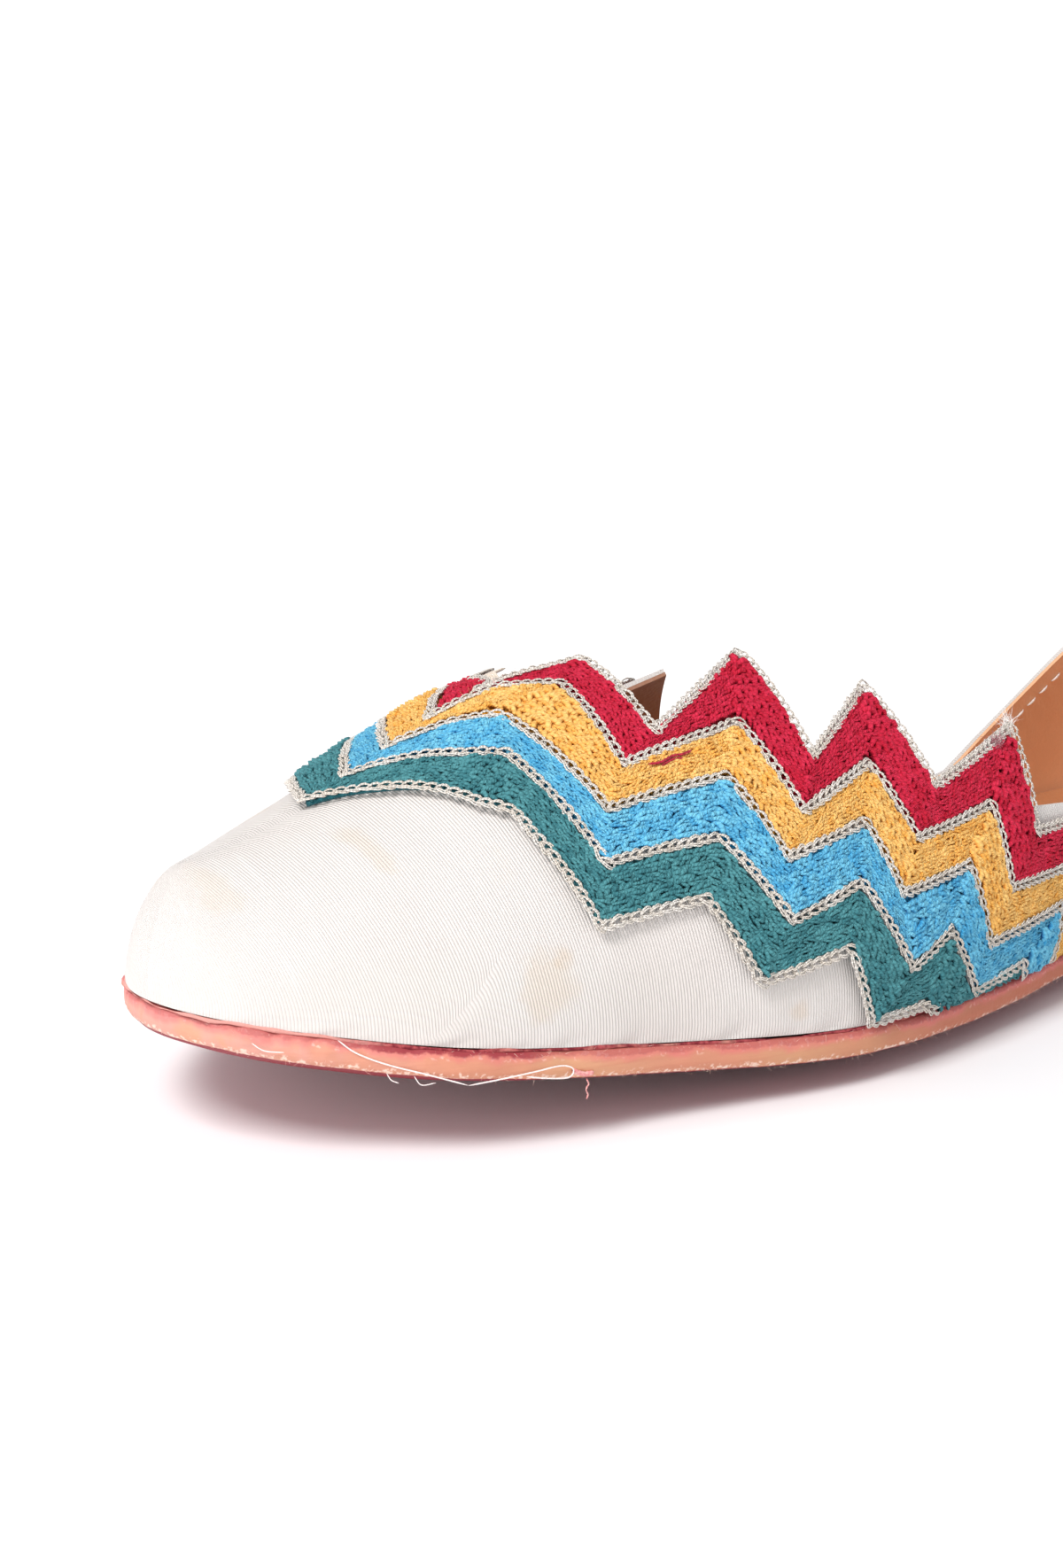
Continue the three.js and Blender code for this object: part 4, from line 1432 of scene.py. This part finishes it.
    def stray_strand(self):
        """Two dark-red strands that lie across the yellow band."""
        station, rise = np.array(self.stray).T
        top = rib_points(station, rise, np.full(len(station), 0.0015))
        slid = rib_points(station, rise - 0.006, np.full(len(station), 0.0014))
        paths = [curve_through(top), curve_through(slid[1:4])]
        self.thread_piece("stray_strand", *join_strands(paths, [0.00018, 0.00015], [(0, 0, 1)] * 2))

    def worn_patch(self, rng):
        """Rubbed fibres on the crimson yarn of the fourth tooth."""
        count = 190
        starts = rib_points(*self.worn, 0.0011) + rng.normal(0, 0.0006, (count, 3))
        ways = rib_normals(*self.worn) + rng.normal(0, 0.8, (count, 3))
        self.thread_piece("worn_patch", *fibre_mesh(
            starts, ways, rng.uniform(0.0004, 0.0011, count), 0.00008, rng))

    def sole_lint(self, rng):
        """Short leather fibres along the sole's edge, most of them low on it."""
        count = 900
        along = rng.uniform(0.0, 0.6, count)
        low = rng.uniform(0, 1, count) < 0.75
        height = np.where(low, rng.normal(0.0034, 0.0002, count), rng.normal(0.0062, 0.0002, count))
        starts = self.edge_places(np.stack([along, height, np.full(count, 0.0004)], -1))
        ahead = self.edge_places(np.stack([along, height, np.full(count, 0.0014)], -1))
        ways = unit(ahead - starts) + rng.normal(0, 0.9, (count, 3))
        self.thread_piece("sole_lint", *fibre_mesh(
            starts, ways, rng.uniform(0.0002, 0.0007, count), 0.00004, rng))


class MOJARI_OT_stage(bpy.types.Operator):
    """Set the camera, the lights and the white floor"""

    bl_idname = "mojari.stage"
    bl_label = "Stage"

    key_place = (0.58, 0.13, 0.64)
    key_aim = (0.03, 0.0, 0.0)
    key_size = 0.30
    key_colour = (1.0, 0.98, 0.97)
    sky_colour = (1.0, 0.99, 1.0, 1.0)
    floor_half = 6.0
    wall_radius = 5.6
    wall_height = 0.8
    wall_sides = 64

    def execute(self, context):
        settings = context.scene.mojari_stage
        scene = context.scene
        data = bpy.data.cameras.new("camera")
        data.lens = settings.lens
        data.sensor_width = 36.0
        data.clip_start = 0.01
        camera = bpy.data.objects.new("camera", data)
        scene.collection.objects.link(camera)
        camera.location = settings.eye
        camera.rotation_mode = "QUATERNION"
        camera.rotation_quaternion = Vector(settings.aim).to_track_quat("-Z", "Y")
        scene.camera = camera
        scene.view_settings.view_transform = "Standard"
        world = bpy.data.worlds.new("white_room")
        world.use_nodes = True
        sky = world.node_tree.nodes["Background"]
        sky.inputs["Color"].default_value = self.sky_colour
        sky.inputs["Strength"].default_value = settings.sky
        scene.world = world
        self.light("key", self.key_place, self.key_aim, settings.key, self.key_size,
                   self.key_colour)
        half = self.floor_half
        floor = self.stage_piece(
            "floor", [(-half, -half, 0), (half, -half, 0), (half, half, 0), (-half, half, 0)],
            [(0, 1, 2, 3)], floor_finish())
        self.wall()
        return {"FINISHED"}

    def stage_piece(self, name, points, faces, material):
        mesh = bpy.data.meshes.new(name)
        mesh.from_pydata(points, [], faces)
        piece = bpy.data.objects.new(name, mesh)
        bpy.context.scene.collection.objects.link(piece)
        mesh.materials.append(material)
        return piece

    def wall(self):
        """A low white wall all round, far away."""
        near = np.arange(self.wall_sides)
        after = np.roll(near, -1)
        turn = near * 2 * np.pi / self.wall_sides
        radius = self.wall_radius
        ring = np.stack([radius * np.cos(turn), radius * np.sin(turn), np.zeros(len(near))], -1)
        points = np.concatenate([ring, ring + (0, 0, self.wall_height)])
        faces = np.stack([after, near, near + self.wall_sides, after + self.wall_sides], -1)
        wall = self.stage_piece("wall", points.tolist(), faces.tolist(), wall_finish())

    def light(self, name, place, aim, power, size, colour):
        data = bpy.data.lights.new(name, "AREA")
        data.energy = power
        data.size = size
        data.color = colour
        lamp = bpy.data.objects.new(name, data)
        bpy.context.scene.collection.objects.link(lamp)
        lamp.location = place
        lamp.rotation_mode = "QUATERNION"
        lamp.rotation_quaternion = (Vector(aim) - Vector(place)).to_track_quat("-Z", "Y")


class MOJARI_PT_panel(bpy.types.Panel):
    """Lists the steps that build the shoe"""

    bl_idname = "MOJARI_PT_panel"
    bl_label = "Mojari shoe"
    bl_space_type = "VIEW_3D"
    bl_region_type = "UI"
    bl_category = "Mojari"

    def draw(self, context):
        layout = self.layout
        for group in GROUPS:
            settings = getattr(context.scene, group)
            box = layout.box()
            for name in settings.__annotations__:
                box.prop(settings, name)
        for operator in OPERATORS:
            layout.operator(operator.bl_idname)


GROUPS = {"mojari_upper": MojariUpper, "mojari_yarn": MojariYarn,
          "mojari_colours": MojariColours, "mojari_stage": MojariStage}
OPERATORS = (MOJARI_OT_stage, MOJARI_OT_upper, MOJARI_OT_sole, MOJARI_OT_bands,
             MOJARI_OT_chains, MOJARI_OT_threads)


def register():
    for name, group in GROUPS.items():
        bpy.utils.register_class(group)
        setattr(bpy.types.Scene, name, PointerProperty(type=group))
    for item in (*OPERATORS, MOJARI_PT_panel):
        bpy.utils.register_class(item)


def unregister():
    for item in (MOJARI_PT_panel, *reversed(OPERATORS)):
        bpy.utils.unregister_class(item)
    for name, group in GROUPS.items():
        delattr(bpy.types.Scene, name)
        bpy.utils.unregister_class(group)


def main():
    register()
    bpy.ops.mojari.stage()
    bpy.ops.mojari.upper()
    bpy.ops.mojari.sole()
    bpy.ops.mojari.bands()
    bpy.ops.mojari.chains()
    bpy.ops.mojari.threads()


if __name__ == "__main__":
    main()
